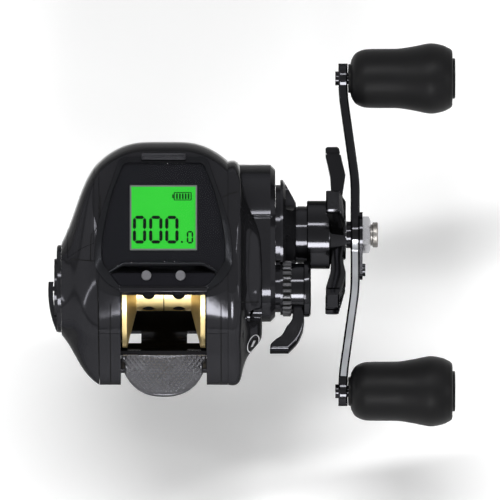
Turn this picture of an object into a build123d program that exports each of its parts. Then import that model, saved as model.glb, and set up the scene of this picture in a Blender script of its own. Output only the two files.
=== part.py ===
from build123d import *
import math
import os

# Low-profile baitcasting reel with a line counter, in millimetres.
# The X axis is the spool's axis and points to the handle, Y points to the rod tip, Z is up.
# The origin is the centre of the reel foot's seat face.
# Places across the reel are pairs (forward, up) measured from the spool axis.

# Whole reel
seat_to_spool = 23.5
foot_ahead = 6.0
running_gap = 0.05
seam_gap = 0.12
body_gap = 0.4
overrun = 1.0
spool_axis = (0.0, 0.0)

# Frame
frame_outer = 20.0
frame_inner = 13.4
ring_bore = 19.3
ring_outer = 20.9
cradle_radius = 19.5
cradle_wall = 1.3
cover_wall = 1.7
hood_split = 9.0
cradle_from = 204.0
cradle_to = 300.0
window_from = 239.0
window_to = 257.0
window_inner = 7.2
window_outer = 11.4
front_bar_forward = 29.4
front_bar_up = -13.9
front_bar_size = 3.0
foot_length = 60.0
foot_width = 11.8
foot_thickness = 2.3
foot_tip_thickness = 1.3
stem_back = -9.0
stem_front = 14.0
stem_half_width = 5.9
foot_screw_places = ((0.0, -5.0), (0.0, 10.0))
foot_screw_radius = 1.2
foot_screw_head_radius = 2.4
foot_screw_grip = 1.4
spool_hole_radius = 3.4
drive_bearing_radius = 5.0
drive_bearing_start = 15.4
bush_radius = 3.0
bush_length = 3.4
guide_rod_radius = 1.2

# Thumb bar
thumb_front = -20.6
thumb_up = -5.3
thumb_length = 13.1
thumb_drop = 4.0
thumb_half_width = 12.9
thumb_thickness = 2.4
thumb_travel = 3.2
thumb_edge = 0.7
ear_set_back = 0.9
ear_length = 4.4
ear_thickness = 2.0
ear_depth = 1.5
ear_up = -6.0

# Side outline of the body: radius about the spool axis at each direction, as shares of the nose radius.
# Directions run from the rod tip upwards, in degrees.
nose_radius = 37.0
outline_angles = (0, 20, 40, 60, 80, 100, 118, 135, 155, 180, 203, 222, 245, 270, 300, 330, 347)
flank_shares = (1.0, 1.065, 1.09, 1.12, 0.775, 0.655, 0.63, 0.62, 0.625,
                0.65, 0.815, 0.72, 0.59, 0.57, 0.61, 0.91, 0.99)
crest_shares = (1.0, 1.17, 1.257, 1.25, 0.84, 0.715, 0.66, 0.63, 0.625,
                0.65, 0.815, 0.72, 0.59, 0.57, 0.61, 0.91, 0.99)
# Places across the hood as shares of the frame's half width, and how much of the crest each has.
hood_place_shares = (-1.0, -0.86, -0.7, -0.38, 0.0, 0.38, 0.7, 0.86, 1.0)
hood_swell_shares = (0.0, 0.38, 0.68, 0.97, 1.0, 0.97, 0.68, 0.38, 0.0)

# Brake dial on the palm side
dial_radius = 13.7
dial_face = -33.4
dial_lever_end = -36.0
dial_lever_width = 4.0
dial_lever_wall = 1.5
dial_lever_bow = 1.2
dial_lever_shoulder_share = 0.28
dial_ridge_radius = 9.4
dial_ridge_height = 0.8
dial_stub_radius = 2.2
magnet_holder_radius = 13.2
magnet_holder_bore = 6.5
magnet_holder_start = -20.4
magnet_holder_thickness = 1.8
magnet_count = 6
magnet_radius = 1.6
magnet_thickness = 1.0
magnet_ring_radius = 11.2

# Cast control on the gear side
control_start = 37.0
control_grip_end = 39.8
control_smooth_end = 43.6
control_end = 45.9
control_radius = 8.6
control_neck_radius = 7.9
control_rim_radius = 8.8
control_notches = 28
control_notch_radius = 0.45
control_lever_thickness = 4.4
control_lever_tilt = 25.0
control_lever_edge = 0.5
# The lever's side edges as pairs: place across the reel, and distance from the spool's axis.
control_lever_outer = ((43.5, 7.1), (43.8, 12.0), (42.9, 15.9), (41.4, 18.7), (38.9, 21.5))
control_lever_inner = ((33.1, 21.5), (33.4, 19.8), (34.9, 18.2), (36.9, 16.6),
                       (38.3, 13.9), (40.0, 11.2), (40.3, 7.1))

# Palm side dome
palm_face = -31.9
palm_face_radius = 14.6
palm_place_shares = (0.0, 0.29, 0.56, 0.86, 1.0)
palm_swell_shares = (1.0, 0.82, 0.53, 0.14, 0.0)
palm_hub_radius = 6.2
palm_hub_end = -16.0
spool_bearing_start = -19.6
spool_bearing_end = -16.6
bearing_radius = 4.5
magnet_guide_angles = (60, 180, 300)
magnet_guide_radius = 9.6
magnet_guide_pin_radius = 1.0
magnet_guide_end = -16.4

palm_screw_places = ((28.0, -8.0), (4.0, -16.6), (28.5, 3.0))
palm_screw_seat = -23.4

# Battery door in the palm dome
door_across = (-30.0, -21.6)
door_forward = (1.5, 27.0)
door_floor = 12.0
seal_thickness = 0.8
seal_width = 1.3
cell_radius = 8.0
cell_thickness = 3.2
cell_centre = (14.0, 15.0)
cell_gap = 0.6
cell_edge = 0.4

# Gear side case
cone_end = 30.6
cone_radius = 9.0
cone_place_shares = (0.0, 0.31, 0.46, 0.79, 1.0)
cone_swell_shares = (1.0, 0.97, 0.74, 0.45, 0.2)
drum_case_radius = 22.0
drum_case_end = 34.8
case_rear_centre = (3.0, 0.0)
case_rear_radius = 13.0
case_chamfer = 1.5
case_back_wall = 0.9
gear_screw_places = ((-15.0, -8.6), (-13.5, 7.0), (1.5, -16.6))
gear_screw_seat = 25.6
screw_head_radius = 2.2
screw_head_height = 1.3
screw_radius = 1.0
screw_boss_radius = 3.1
screw_grip = 3.0
one_way_radius = 7.0
one_way_start = 30.6
one_way_end = 35.8
housing_radius = 8.6
pinion_bearing_radius = 4.7
pinion_seat_wall = 1.1
pinion_bearing_start = 31.2
pinion_bearing_end = 33.4
control_boss_radius = 7.4
control_boss_end = 36.8
yoke_post_end = 27.6
screw_slot = 0.8
lever_knee_share = 0.72
cap_rim_width = 1.6
cap_edge = 0.8
pocket_angles = (60, 150, 330)
cap_start = 34.9
cap_rim = 36.4
cap_radius = 17.3
cap_nose = 41.3
cap_nose_radius = 10.2
drive_boss_end = 44.4
drive_boss_radius = 8.8
pocket_radius = 13.6
pocket_length = 7.6
pocket_width = 2.9
pocket_floor = 38.0
control_clearing = 9.4

# Display
display_slope = 26.0
display_back = -12.5
display_up = 19.7
display_length = 42.0
bezel_thickness = 1.6
bezel_wide = 21.4
glass_thickness = 0.9
lcd_width = 20.2
lcd_height = 19.8
lcd_centre_along = 23.2
lcd_thickness = 1.2
panel_thickness = 1.1
button_radius = 1.55
button_along = 5.1
button_offset = 5.3
button_travel = 0.6
button_proud = 0.7
button_flange_radius = 2.2
button_flange = 0.7
board_depth = 3.4
board_thickness = 0.8
board_half_width = 12.6
board_from = 3.0
board_to = 36.0
board_post_radius = 1.2
board_post_offset = 11.6
board_post_places = (12.0, 34.6)
switch_size = 2.4
sensor_width = 4.0
sensor_along = 9.5
sensor_length = 3.0
sensor_thickness = 1.2
latch_half_width = 6.9
latch_from = 41.1
latch_to = 43.2
latch_thickness = 2.0
latch_edge = 0.4
bezel_edge = 0.6
button_edge = 0.3
# Half outlines on the display plane: shares of the bezel's half width and of the display's length.
bezel_outline_shares = ((0.63, 1.0), (0.83, 0.715), (0.963, 0.5), (1.0, 0.32), (1.0, 0.18), (0.83, 0.067), (0.61, 0.0))
glass_outline_shares = ((0.57, 0.957), (0.612, 0.924), (0.743, 0.76), (0.832, 0.574),
                        (0.893, 0.386), (0.893, 0.224), (0.79, 0.172), (0.64, 0.214))
panel_outline_shares = ((0.626, 0.176), (0.766, 0.129), (0.64, 0.033))

# Drive line
drive_axis = (19.98, -0.91)
pinion_teeth = 10
drive_teeth = 64
tooth_backlash = 0.16
pressure_angle = 20.0
flank_steps = 4
pinion_tooth_shares = (1.0, 0.8)
drive_tooth_shares = (0.6, 1.2)
cog_tooth_shares = (0.8, 1.05)
shaft_radius = 3.0
spool_shaft_radius = 1.5

bearing_thickness = 3.0
bearing_race = 1.1
bearing_step = 0.25
drive_end = 64.5
shaft_start = 15.2
cog_start = 20.4
cog_width = 1.6
gear_flange_radius = 8.0
gear_flange_start = 22.4
gear_start = 23.5
gear_width = 4.2
washer_well_depth = 2.0
washer_radius = 13.0
washer_thickness = 0.8
pressure_plate_radius = 12.4
pressure_plate_thickness = 1.5
sleeve_radius = 4.0
sleeve_end = 50.6
spring_start = 46.6
spring_radius = 7.4
spring_thickness = 0.9
pinion_start = 20.9
pinion_groove_start = 28.6
pinion_groove_end = 29.9
pinion_groove_radius = 2.1
pinion_hub_radius = 2.7
pinion_end = 34.0
pinion_slot_depth = 1.7
spool_pin_radius = 0.5
spool_pin_length = 5.0
spool_pin_across = 21.5
yoke_half_height = 9.1
yoke_half_width = 3.0
yoke_thickness = 1.0
yoke_travel = 1.3
yoke_post_offset = 7.5
yoke_post_radius = 0.8
yoke_spring_radius = 1.5
shim_thickness = 0.8

# Level wind
worm_axis = (29.0, -8.0)
worm_radius = 2.4
journal_radius = 1.5
worm_shaft_end = 22.6
guide_block_radius = 3.9
guide_half_width = 3.6
guide_arm_width = 3.4
guide_eye_up = 3.0
guide_eye_radius = 2.6
guide_eye_bore = 1.5
cog_teeth = 22
worm_gear_teeth = 18
guide_rod_axis = (33.2, -1.6)

# Spool
spool_half_width = 12.9
spool_radius = 18.5
spool_rim = 1.4
drum_radius = 6.9
drum_half_width = 8.5
port_count = 6
port_angle = 131.0
port_offset = 4.7
port_radius = 2.1
spool_magnet_ring = 10.4
spool_magnet_radius = 1.3
spool_magnet_thickness = 0.8

# Handle
arm_reach = 49.0
arm_direction = 30.0
arm_thickness = 2.85
arm_width = 9.4
arm_start = 58.4
arm_crank = 3.8
arm_bend_from = 17.0
arm_bend_to = 44.0
arm_bend_lead = 0.2
arm_bend_radius = 12.0
arm_edge = 0.8
arm_bar_width = 8.4
arm_hub_radius = 6.4
spacer_radius = 4.2
retainer_thickness = 0.9
retainer_radius = 7.2
retainer_tail_radius = 3.1
retainer_drop = 11.0
retainer_screw_radius = 0.9
retainer_head = 0.9
retainer_head_radius = 2.0
nut_thickness = 2.5
nut_across_flats = 10.0
nut_edge = 0.4
nut_cap_height = 2.4
nut_cap_radius = 4.0
post_radius = 1.8
post_head = 1.0
post_head_radius = 2.2
post_end = 86.5
post_screw_head = 1.2
knob_start = 58.4
knob_end = 90.5
knob_length = 31.9
knob_radius = 9.3
knob_collar = 0.8
knob_collar_radius = 4.6
knob_cap_seat = 1.4
knob_cap_radius = 6.4
knob_cap_proud = 0.9
knob_bush_length = 3.0
# Grip outline: shares of the knob's length and of its radius, from the collar to the end.
knob_outline_shares = ((0.012, 0.66), (0.05, 0.88), (0.14, 0.985), (0.32, 1.0), (0.5, 1.025),
                       (0.65, 1.11), (0.79, 1.188), (0.93, 1.11), (1.0, 0.96))

# Star drag
star_arms = 5
star_turn = -5.0
star_reach = 27.5
star_skirt_start = 44.7
star_skirt_end = 50.9
star_skirt_radius = 10.7
star_skirt_wall = 1.4
star_hub_start = 51.9
star_hub_end = 56.9
star_hub_radius = 7.6
star_arm_start = 51.4
star_arm_end = 55.6
star_tip_start = 50.5
star_tip_end = 54.7
star_tip_round = 1.6
star_arm_width = 7.0
star_edge = 1.0
star_neck_share = 0.46
star_bend_share = 0.7

gear_distance = math.hypot(drive_axis[0] - spool_axis[0], drive_axis[1] - spool_axis[1])
gear_module = 2 * gear_distance / (pinion_teeth + drive_teeth)
worm_distance = math.hypot(drive_axis[0] - worm_axis[0], drive_axis[1] - worm_axis[1])
worm_module = 2 * worm_distance / (cog_teeth + worm_gear_teeth)
worm_gear_room = worm_module * (worm_gear_teeth / 2 + cog_tooth_shares[0]) + body_gap


def side_plane(across, centre=spool_axis):
    """Plane square to X: its own x runs to the rod tip and its own y runs up from the centre."""
    return Plane(
        origin=(across, centre[0] - foot_ahead, centre[1] + seat_to_spool),
        x_dir=(0, 1, 0),
        z_dir=(1, 0, 0),
    )


def turning_plane(centre):
    """Plane for turned profiles: its own x is the world X and its own y is the radius."""
    return Plane(
        origin=(0, centre[0] - foot_ahead, centre[1] + seat_to_spool),
        x_dir=(1, 0, 0),
        z_dir=(0, -1, 0),
    )


def turning_axis(centre):
    """Axis along X through a centre given from the spool axis."""
    return Axis((0, centre[0] - foot_ahead, centre[1] + seat_to_spool), (1, 0, 0))


def display_plane(height=0.0):
    """Plane of the sloping display: its own y runs up the slope from the rear lip."""
    slope = math.radians(display_slope)
    normal = (0, -math.sin(slope), math.cos(slope))
    origin = (
        0,
        display_back - foot_ahead + height * normal[1],
        display_up + seat_to_spool + height * normal[2],
    )
    return Plane(origin=origin, x_dir=(1, 0, 0), z_dir=normal)


def place(across, forward, up):
    """World point of a place given from the spool axis."""
    return (across, forward - foot_ahead, up + seat_to_spool)


def turned(centre, points, mode=Mode.ADD):
    """Turns a closed outline of (across, radius) points about an axis along X."""
    with BuildSketch(turning_plane(centre)) as profile:
        with BuildLine():
            Polyline(*points, close=True)
        make_face()
    revolve(profile.sketch, axis=turning_axis(centre), mode=mode)


def disc(centre, start, end, radius, bore=0.0, mode=Mode.ADD):
    """A round plate or tube along X from start to end."""
    with BuildSketch(side_plane(start, centre)) as ring:
        Circle(radius)
        if bore > 0:
            Circle(bore, mode=Mode.SUBTRACT)
    extrude(ring.sketch, amount=end - start, mode=mode)


def outline_points(swell, inset=0.0, face_share=0.0, face_radius=0.0):
    """Points of the body's side outline, from the flank to the crest, or drawn in to a round face."""
    points = []
    for angle, flank, crest in zip(outline_angles, flank_shares, crest_shares):
        radius = nose_radius * (flank + swell * (crest - flank))
        radius = radius + face_share * (face_radius - radius) - inset
        points.append((radius * math.cos(math.radians(angle)), radius * math.sin(math.radians(angle))))
    return points


def outline_face(across, swell, inset=0.0, face_share=0.0, face_radius=0.0):
    """Face of the side outline at one place across the body."""
    with BuildSketch(side_plane(across)) as outline:
        with BuildLine():
            Spline(*outline_points(swell, inset, face_share, face_radius), periodic=True)
        make_face()
    return outline.sketch.face()


def dome(inset):
    """Loft of the body between the two side plates."""
    sections = []
    for share, swell in zip(hood_place_shares, hood_swell_shares):
        sections.append(outline_face(share * (frame_outer - inset), swell, inset))
    loft(sections)


def palm_dome(inset):
    """Loft of the palm side from the frame's plate to the small end face."""
    start = -frame_outer - seam_gap
    depth = start - palm_face - inset
    sections = []
    for share, swell in zip(palm_place_shares, palm_swell_shares):
        sections.append(outline_face(start - share * depth, 0.0, inset, 1 - swell, palm_face_radius))
    loft(sections)


def gear_case(inset):
    """Cone from the frame's gear plate, joined with the oval drum that holds the gears."""
    start = frame_outer + seam_gap
    oval_start = start
    if inset > 0:
        oval_start = start + case_back_wall
    sections = []
    for share, swell in zip(cone_place_shares, cone_swell_shares):
        across = start + share * (cone_end - inset - start)
        sections.append(outline_face(across, 0.0, inset, 1 - swell, cone_radius))
    loft(sections)
    with BuildSketch(side_plane(oval_start)) as oval:
        with Locations(drive_axis):
            Circle(drum_case_radius - inset)
        with Locations(case_rear_centre):
            Circle(case_rear_radius - inset)
        make_hull()
    extrude(oval.sketch, amount=drum_case_end - inset - oval_start)


def box_cut(low, high, mode=Mode.SUBTRACT):
    """A box between two places given from the spool axis."""
    size = [b - a for a, b in zip(low, high)]
    middle = [(a + b) / 2 for a, b in zip(low, high)]
    with Locations(place(*middle)):
        Box(*size, mode=mode)


def upright(centre, low, high, radius, mode=Mode.ADD):
    """A round post along Z at an (across, forward) place, its ends measured from the spool axis."""
    with Locations(place(centre[0], centre[1], low)):
        Cylinder(radius, high - low, align=(Align.CENTER, Align.CENTER, Align.MIN), mode=mode)


def display_face(shares, inset=0.0):
    """Face on the display plane from a half outline of shares, mirrored across the middle."""
    right = [(across * bezel_wide, along * display_length) for across, along in shares]
    left = [(-across, along) for across, along in reversed(right)]
    with BuildSketch(display_plane()) as outline:
        with BuildLine():
            Polyline(*right, *left, close=True)
        make_face()
        if inset > 0:
            offset(amount=-inset)
    return outline.sketch.face()


def raised(face, low, high, mode=Mode.ADD):
    """A plate on the display plane between two heights along its normal."""
    lift = Vector(*display_plane().z_dir) * low
    extrude(face.moved(Location(lift)), amount=high - low, dir=display_plane().z_dir, mode=mode)


def involute(angle):
    """Angle that an involute turns through at a pressure angle."""
    return math.tan(angle) - angle


def gear_outline(centre, across, teeth, module, addendum_share, dedendum_share, facing):
    """Face of a spur gear at one place across, with a tooth facing the given direction in radians."""
    pitch = module * teeth / 2
    pressure = math.radians(pressure_angle)
    base = pitch * math.cos(pressure)
    outer = pitch + addendum_share * module
    root = pitch - dedendum_share * module
    half_tooth = (math.pi * module - tooth_backlash) / (4 * pitch) + involute(pressure)
    lowest = max(base, root)
    with BuildSketch(side_plane(across, centre)) as outline:
        with BuildLine():
            corners = []
            for number in range(teeth):
                middle = facing + 2 * math.pi * number / teeth
                for side in (-1, 1):
                    flank = []
                    for step in range(flank_steps + 1):
                        radius = lowest + (outer - lowest) * step / flank_steps
                        turn = half_tooth - involute(math.acos(min(1.0, base / radius)))
                        flank.append((radius, middle + side * turn))
                    if root < base:
                        flank.insert(0, (root, flank[0][1]))
                    corners.extend(flank if side < 0 else reversed(flank))
            Polyline(*[(r * math.cos(a), r * math.sin(a)) for r, a in corners], close=True)
        make_face()
    return outline.sketch.face()


def write_part(part, name):
    """Labels a finished piece and writes it under its own name."""
    part.label = name
    export_step(part, f"parts/{name}.step")


os.makedirs("parts", exist_ok=True)

# Frame: two side plates, the rings inside the hood, a cradle under the spool and a front bar
plate_width = frame_outer - frame_inner
ring_width = plate_width - cover_wall - seam_gap
reach = 2 * nose_radius
cradle_outer = cradle_radius + cradle_wall
floor_from = (cradle_radius * math.cos(math.radians(cradle_to)), cradle_radius * math.sin(math.radians(cradle_to)))
floor_to = (front_bar_forward, front_bar_up)
foot_top = foot_thickness - seat_to_spool
ear_back = thumb_front - ear_set_back - ear_length
with BuildPart() as frame:
    for start in (-frame_outer, frame_inner):
        extrude(outline_face(start, 0.0), amount=plate_width)
    box_cut((-reach, -reach, hood_split), (reach, reach, reach))
    disc(spool_axis, -frame_inner - ring_width, -frame_inner, ring_outer)
    disc(spool_axis, frame_inner, frame_inner + ring_width, ring_outer)
    with BuildSketch(side_plane(-frame_inner)) as cradle:
        Circle(cradle_outer)
        with BuildLine():
            sector_from = Vector(reach, 0).rotate(Axis.Z, cradle_from)
            sector_to = Vector(reach, 0).rotate(Axis.Z, cradle_to)
            Polyline((0, 0), sector_from, (0, -2 * reach), sector_to, close=True)
        make_face(mode=Mode.INTERSECT)
        with BuildLine():
            Polyline(
                floor_from,
                (floor_from[0], floor_from[1] - cradle_wall),
                (floor_to[0], floor_to[1] - cradle_wall),
                floor_to,
                close=True,
            )
        make_face()
        with Locations((front_bar_forward, front_bar_up)):
            RectangleRounded(front_bar_size, front_bar_size, front_bar_size / 4)
        Circle(cradle_radius, mode=Mode.SUBTRACT)
    extrude(cradle.sketch, amount=2 * frame_inner)
    for side in (-1, 1):
        with BuildSketch(side_plane(side * (window_inner + window_outer) / 2)) as window:
            with BuildLine():
                window_start = Vector(reach, 0).rotate(Axis.Z, window_from)
                window_end = Vector(reach, 0).rotate(Axis.Z, window_to)
                Polyline((0, 0), window_start, window_end, close=True)
            make_face()
            Circle(cradle_radius - overrun, mode=Mode.SUBTRACT)
        extrude(window.sketch, amount=(window_outer - window_inner) / 2, both=True, mode=Mode.SUBTRACT)
    with BuildSketch(side_plane(-stem_half_width)) as stem:
        with BuildLine():
            Polyline(
                (stem_back, foot_top),
                (stem_front, foot_top),
                (stem_front, -cradle_radius * math.cos(math.asin(stem_front / cradle_outer)) + cradle_wall),
                (stem_back, -cradle_radius + cradle_wall),
                close=True,
            )
        make_face()
        Circle(cradle_radius, mode=Mode.SUBTRACT)
    extrude(stem.sketch, amount=2 * stem_half_width)
    # Bores: spool opening on the palm side, shafts and bearings on the gear side
    disc(spool_axis, -frame_outer - overrun, -frame_inner + overrun, ring_bore, mode=Mode.SUBTRACT)
    disc(spool_axis, frame_inner - overrun, frame_outer + overrun, spool_hole_radius, mode=Mode.SUBTRACT)
    disc(drive_axis, drive_bearing_start, frame_outer + overrun, drive_bearing_radius, mode=Mode.SUBTRACT)
    disc(drive_axis, frame_inner + cover_wall, frame_outer, shaft_radius + seam_gap, mode=Mode.SUBTRACT)
    disc(worm_axis, -frame_inner - bush_length, frame_outer + overrun, bush_radius, mode=Mode.SUBTRACT)
    for side in (-1, 1):
        middle = side * (frame_inner + bush_length / 2 - overrun / 2)
        half = bush_length / 2 + overrun / 2
        disc(guide_rod_axis, middle - half, middle + half, guide_rod_radius, mode=Mode.SUBTRACT)
        ear_low = (frame_inner - overrun, ear_back - body_gap, ear_up - ear_thickness - thumb_travel - body_gap)
        ear_high = (frame_inner + ear_depth + body_gap, thumb_front - ear_set_back + body_gap, ear_up + body_gap)
        across = sorted((side * ear_low[0], side * ear_high[0]))
        box_cut((across[0], *ear_low[1:]), (across[1], *ear_high[1:]))
    for centre in foot_screw_places:
        upright(centre, foot_top - overrun, foot_top + foot_screw_grip, foot_screw_radius, mode=Mode.SUBTRACT)
    for places, side in ((palm_screw_places, -1), (gear_screw_places, 1)):
        for centre in places:
            ends = sorted((side * (frame_outer - screw_grip), side * (frame_outer + overrun)))
            disc(centre, ends[0], ends[1], screw_radius, mode=Mode.SUBTRACT)
write_part(frame.part, "frame")

# Reel foot with its two screws: the lowest face is what the rod's seat takes
with BuildPart() as reel_foot:
    with BuildSketch(Plane.YZ.offset(-foot_width / 2)):
        with BuildLine():
            Polyline(
                (-foot_length / 2, 0),
                (foot_length / 2, 0),
                (foot_length / 2, foot_tip_thickness),
                (stem_front - foot_ahead + foot_thickness, foot_thickness),
                (stem_back - foot_ahead - foot_thickness, foot_thickness),
                (-foot_length / 2, foot_tip_thickness),
                close=True,
            )
        make_face()
    extrude(amount=foot_width)
    with BuildSketch(Plane.XY):
        RectangleRounded(foot_width, foot_length, foot_width / 2 - seam_gap)
    extrude(amount=foot_thickness + overrun, mode=Mode.INTERSECT)
    for across, forward in foot_screw_places:
        with Locations((across, forward - foot_ahead, 0)):
            CounterSinkHole(
                radius=foot_screw_radius + seam_gap,
                counter_sink_radius=foot_screw_head_radius,
                depth=foot_thickness + overrun,
            )
write_part(reel_foot.part, "reel_foot")

display_normal = Axis((0, 0, 0), display_plane().z_dir)

# Domes that the covers are cut from
with BuildPart() as palm_form:
    palm_dome(0.0)
    split(bisect_by=display_plane(-seam_gap), keep=Keep.BOTTOM)
with BuildPart() as palm_room:
    palm_dome(cover_wall)
    split(bisect_by=display_plane(-cover_wall - seam_gap), keep=Keep.BOTTOM)
with BuildPart() as hood_form:
    dome(0.0)
    split(bisect_by=display_plane(), keep=Keep.BOTTOM)
with BuildPart() as hood_room:
    dome(cover_wall)
    split(bisect_by=display_plane(-cover_wall), keep=Keep.BOTTOM)
with BuildPart() as case_form:
    gear_case(0.0)
    chamfer(case_form.edges().group_by(Axis.X)[-1], case_chamfer)
    split(bisect_by=display_plane(-seam_gap), keep=Keep.BOTTOM)
with BuildPart() as case_room:
    gear_case(cover_wall)
    split(bisect_by=display_plane(-cover_wall - seam_gap), keep=Keep.BOTTOM)

door_low = (door_across[0], door_forward[0], door_floor)
door_high = (door_across[1], door_forward[1], nose_radius)
door_inside_low = tuple(value + seam_gap for value in door_low)
door_inside_high = (door_high[0] - seam_gap, door_high[1] - seam_gap, door_high[2])

# Palm side cover with the hub that holds the spool's left bearing
with BuildPart() as palm_side_cover:
    add(palm_form.part)
    add(palm_room.part, mode=Mode.SUBTRACT)
    disc(spool_axis, palm_face + cover_wall / 2, palm_hub_end, palm_hub_radius)
    for centre in palm_screw_places:
        disc(centre, palm_screw_seat, -frame_outer - seam_gap, screw_boss_radius)
        disc(centre, palm_face, palm_screw_seat, screw_head_radius + seam_gap, mode=Mode.SUBTRACT)
        disc(centre, palm_screw_seat, -frame_outer, screw_radius + seam_gap, mode=Mode.SUBTRACT)
    disc(spool_axis, spool_bearing_start, palm_hub_end, bearing_radius, mode=Mode.SUBTRACT)
    disc(spool_axis, palm_face + cover_wall, palm_hub_end, spool_shaft_radius + body_gap, mode=Mode.SUBTRACT)
    for angle in magnet_guide_angles:
        guide = Vector(magnet_guide_radius, 0).rotate(Axis.Z, angle)
        disc((guide.X, guide.Y), palm_face + cover_wall / 2, magnet_guide_end, magnet_guide_pin_radius)
    box_cut(door_low, door_high)
write_part(palm_side_cover.part, "palm_side_cover")

# Battery door: the lid cut out of the palm dome
with BuildPart() as battery_door:
    add(palm_form.part)
    add(palm_room.part, mode=Mode.SUBTRACT)
    box_cut(door_inside_low, door_inside_high, mode=Mode.INTERSECT)
write_part(battery_door.part, "battery_door")

# Battery seal: a rim under the edge of the door
with BuildPart() as seal_room:
    palm_dome(cover_wall + seal_thickness)
    split(bisect_by=display_plane(-cover_wall - seal_thickness - seam_gap), keep=Keep.BOTTOM)
with BuildPart() as battery_seal:
    add(palm_room.part)
    add(seal_room.part, mode=Mode.SUBTRACT)
    seal_low = tuple(value - seal_width for value in door_low)
    seal_high = (-frame_outer - 2 * seam_gap, door_high[1] + seal_width, door_high[2])
    box_cut(seal_low, seal_high, mode=Mode.INTERSECT)
    inner_low = tuple(value + seal_width for value in door_low)
    inner_high = (door_high[0] - seal_width, door_high[1] - seal_width, door_high[2])
    box_cut(inner_low, inner_high)
write_part(battery_seal.part, "battery_seal")

# Coin cell on its side behind the door
with BuildPart() as coin_cell:
    cell_face = -frame_outer - cell_gap
    disc(cell_centre, cell_face - cell_thickness, cell_face, cell_radius)
    chamfer(coin_cell.edges().group_by(Axis.X)[0], cell_edge)
write_part(coin_cell.part, "coin_cell")

# Counter hood over the spool, with the window for the display and wells for the buttons
with BuildPart() as counter_hood:
    add(hood_form.part)
    add(hood_room.part, mode=Mode.SUBTRACT)
    box_cut((-reach, -reach, -reach), (reach, reach, hood_split + seam_gap))
    box_cut((-frame_inner, -reach, -reach), (frame_inner, display_back, reach))
    disc(spool_axis, -frame_outer - overrun, -frame_inner, ring_bore, mode=Mode.SUBTRACT)
    with BuildSketch(display_plane(-2 * cover_wall)):
        with Locations((0, lcd_centre_along)):
            Rectangle(lcd_width + 2 * seam_gap, lcd_height + 2 * seam_gap)
        with Locations((-button_offset, button_along), (button_offset, button_along)):
            Circle(button_radius + seam_gap)
    extrude(amount=4 * cover_wall, mode=Mode.SUBTRACT)
    with BuildSketch(display_plane(-board_depth)):
        for along in board_post_places:
            with Locations((-board_post_offset, along), (board_post_offset, along)):
                Circle(board_post_radius)
    extrude(amount=board_depth - cover_wall / 2)
write_part(counter_hood.part, "counter_hood")

# Bezel round the display and the button panel, with a notch for its latch
with BuildPart() as display_bezel:
    raised(display_face(bezel_outline_shares), 0.0, bezel_thickness)
    chamfer(display_bezel.edges().group_by(display_normal)[-1], bezel_edge)
    raised(display_face(glass_outline_shares), 0.0, bezel_thickness + overrun, mode=Mode.SUBTRACT)
    raised(display_face(panel_outline_shares), 0.0, bezel_thickness + overrun, mode=Mode.SUBTRACT)
    with BuildSketch(display_plane()):
        with Locations((0, (latch_from + latch_to) / 2)):
            Rectangle(2 * latch_half_width + 2 * seam_gap, latch_to - latch_from + 2 * seam_gap)
    extrude(amount=bezel_thickness + overrun, mode=Mode.SUBTRACT)
write_part(display_bezel.part, "display_bezel")

# Latch at the top of the bezel
with BuildPart() as bezel_latch:
    with BuildSketch(display_plane()):
        with Locations((0, (latch_from + latch_to) / 2)):
            Rectangle(2 * latch_half_width, latch_to - latch_from)
    extrude(amount=latch_thickness)
    fillet(bezel_latch.edges().group_by(display_normal)[-1], latch_edge)
write_part(bezel_latch.part, "bezel_latch")

# Clear window over the display
with BuildPart() as display_window:
    raised(display_face(glass_outline_shares, seam_gap), 0.0, glass_thickness)
write_part(display_window.part, "display_window")

# Panel round the two buttons
with BuildPart() as button_panel:
    raised(display_face(panel_outline_shares, seam_gap), 0.0, panel_thickness)
    with BuildSketch(display_plane(-overrun)):
        with Locations((-button_offset, button_along), (button_offset, button_along)):
            Circle(button_radius + seam_gap)
    extrude(amount=panel_thickness + 2 * overrun, mode=Mode.SUBTRACT)
write_part(button_panel.part, "button_panel")

# Display in the hood's window
with BuildPart() as lcd_panel:
    with BuildSketch(display_plane(-lcd_thickness - seam_gap)):
        with Locations((0, lcd_centre_along)):
            Rectangle(lcd_width, lcd_height)
    extrude(amount=lcd_thickness)
write_part(lcd_panel.part, "lcd_panel")

# Circuit board on the hood's posts
board_back = board_depth + board_thickness
with BuildPart() as circuit_board:
    with BuildSketch(display_plane(-board_back)):
        with Locations((0, (board_from + board_to) / 2)):
            RectangleRounded(2 * board_half_width, board_to - board_from, board_thickness)
    extrude(amount=board_thickness - running_gap)
write_part(circuit_board.part, "circuit_board")

# Board parts: a switch under each button and the sensor that counts the spool's turns
flange_back = cover_wall + running_gap + button_flange
with BuildPart() as board_parts:
    with BuildSketch(display_plane(-board_depth)):
        with Locations((-button_offset, button_along), (button_offset, button_along)):
            RectangleRounded(switch_size, switch_size, switch_size / 4)
    extrude(amount=board_depth - flange_back - button_travel - running_gap)
    with BuildSketch(display_plane(-board_back - sensor_thickness)):
        with Locations((0, sensor_along)):
            Rectangle(sensor_width, sensor_length)
    extrude(amount=sensor_thickness)
write_part(board_parts.part, "board_parts")

# Buttons: round caps with a flange that keeps them under the hood's plate
for name, side in (("power_button", -1), ("set_button", 1)):
    with BuildPart() as button:
        with BuildSketch(display_plane(-flange_back)):
            with Locations((side * button_offset, button_along)):
                Circle(button_radius)
        extrude(amount=flange_back + panel_thickness + button_proud)
        fillet(button.edges().group_by(display_normal)[-1], button_edge)
        with BuildSketch(display_plane(-flange_back)):
            with Locations((side * button_offset, button_along)):
                Circle(button_flange_radius)
        extrude(amount=button_flange)
    write_part(button.part, name)

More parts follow.
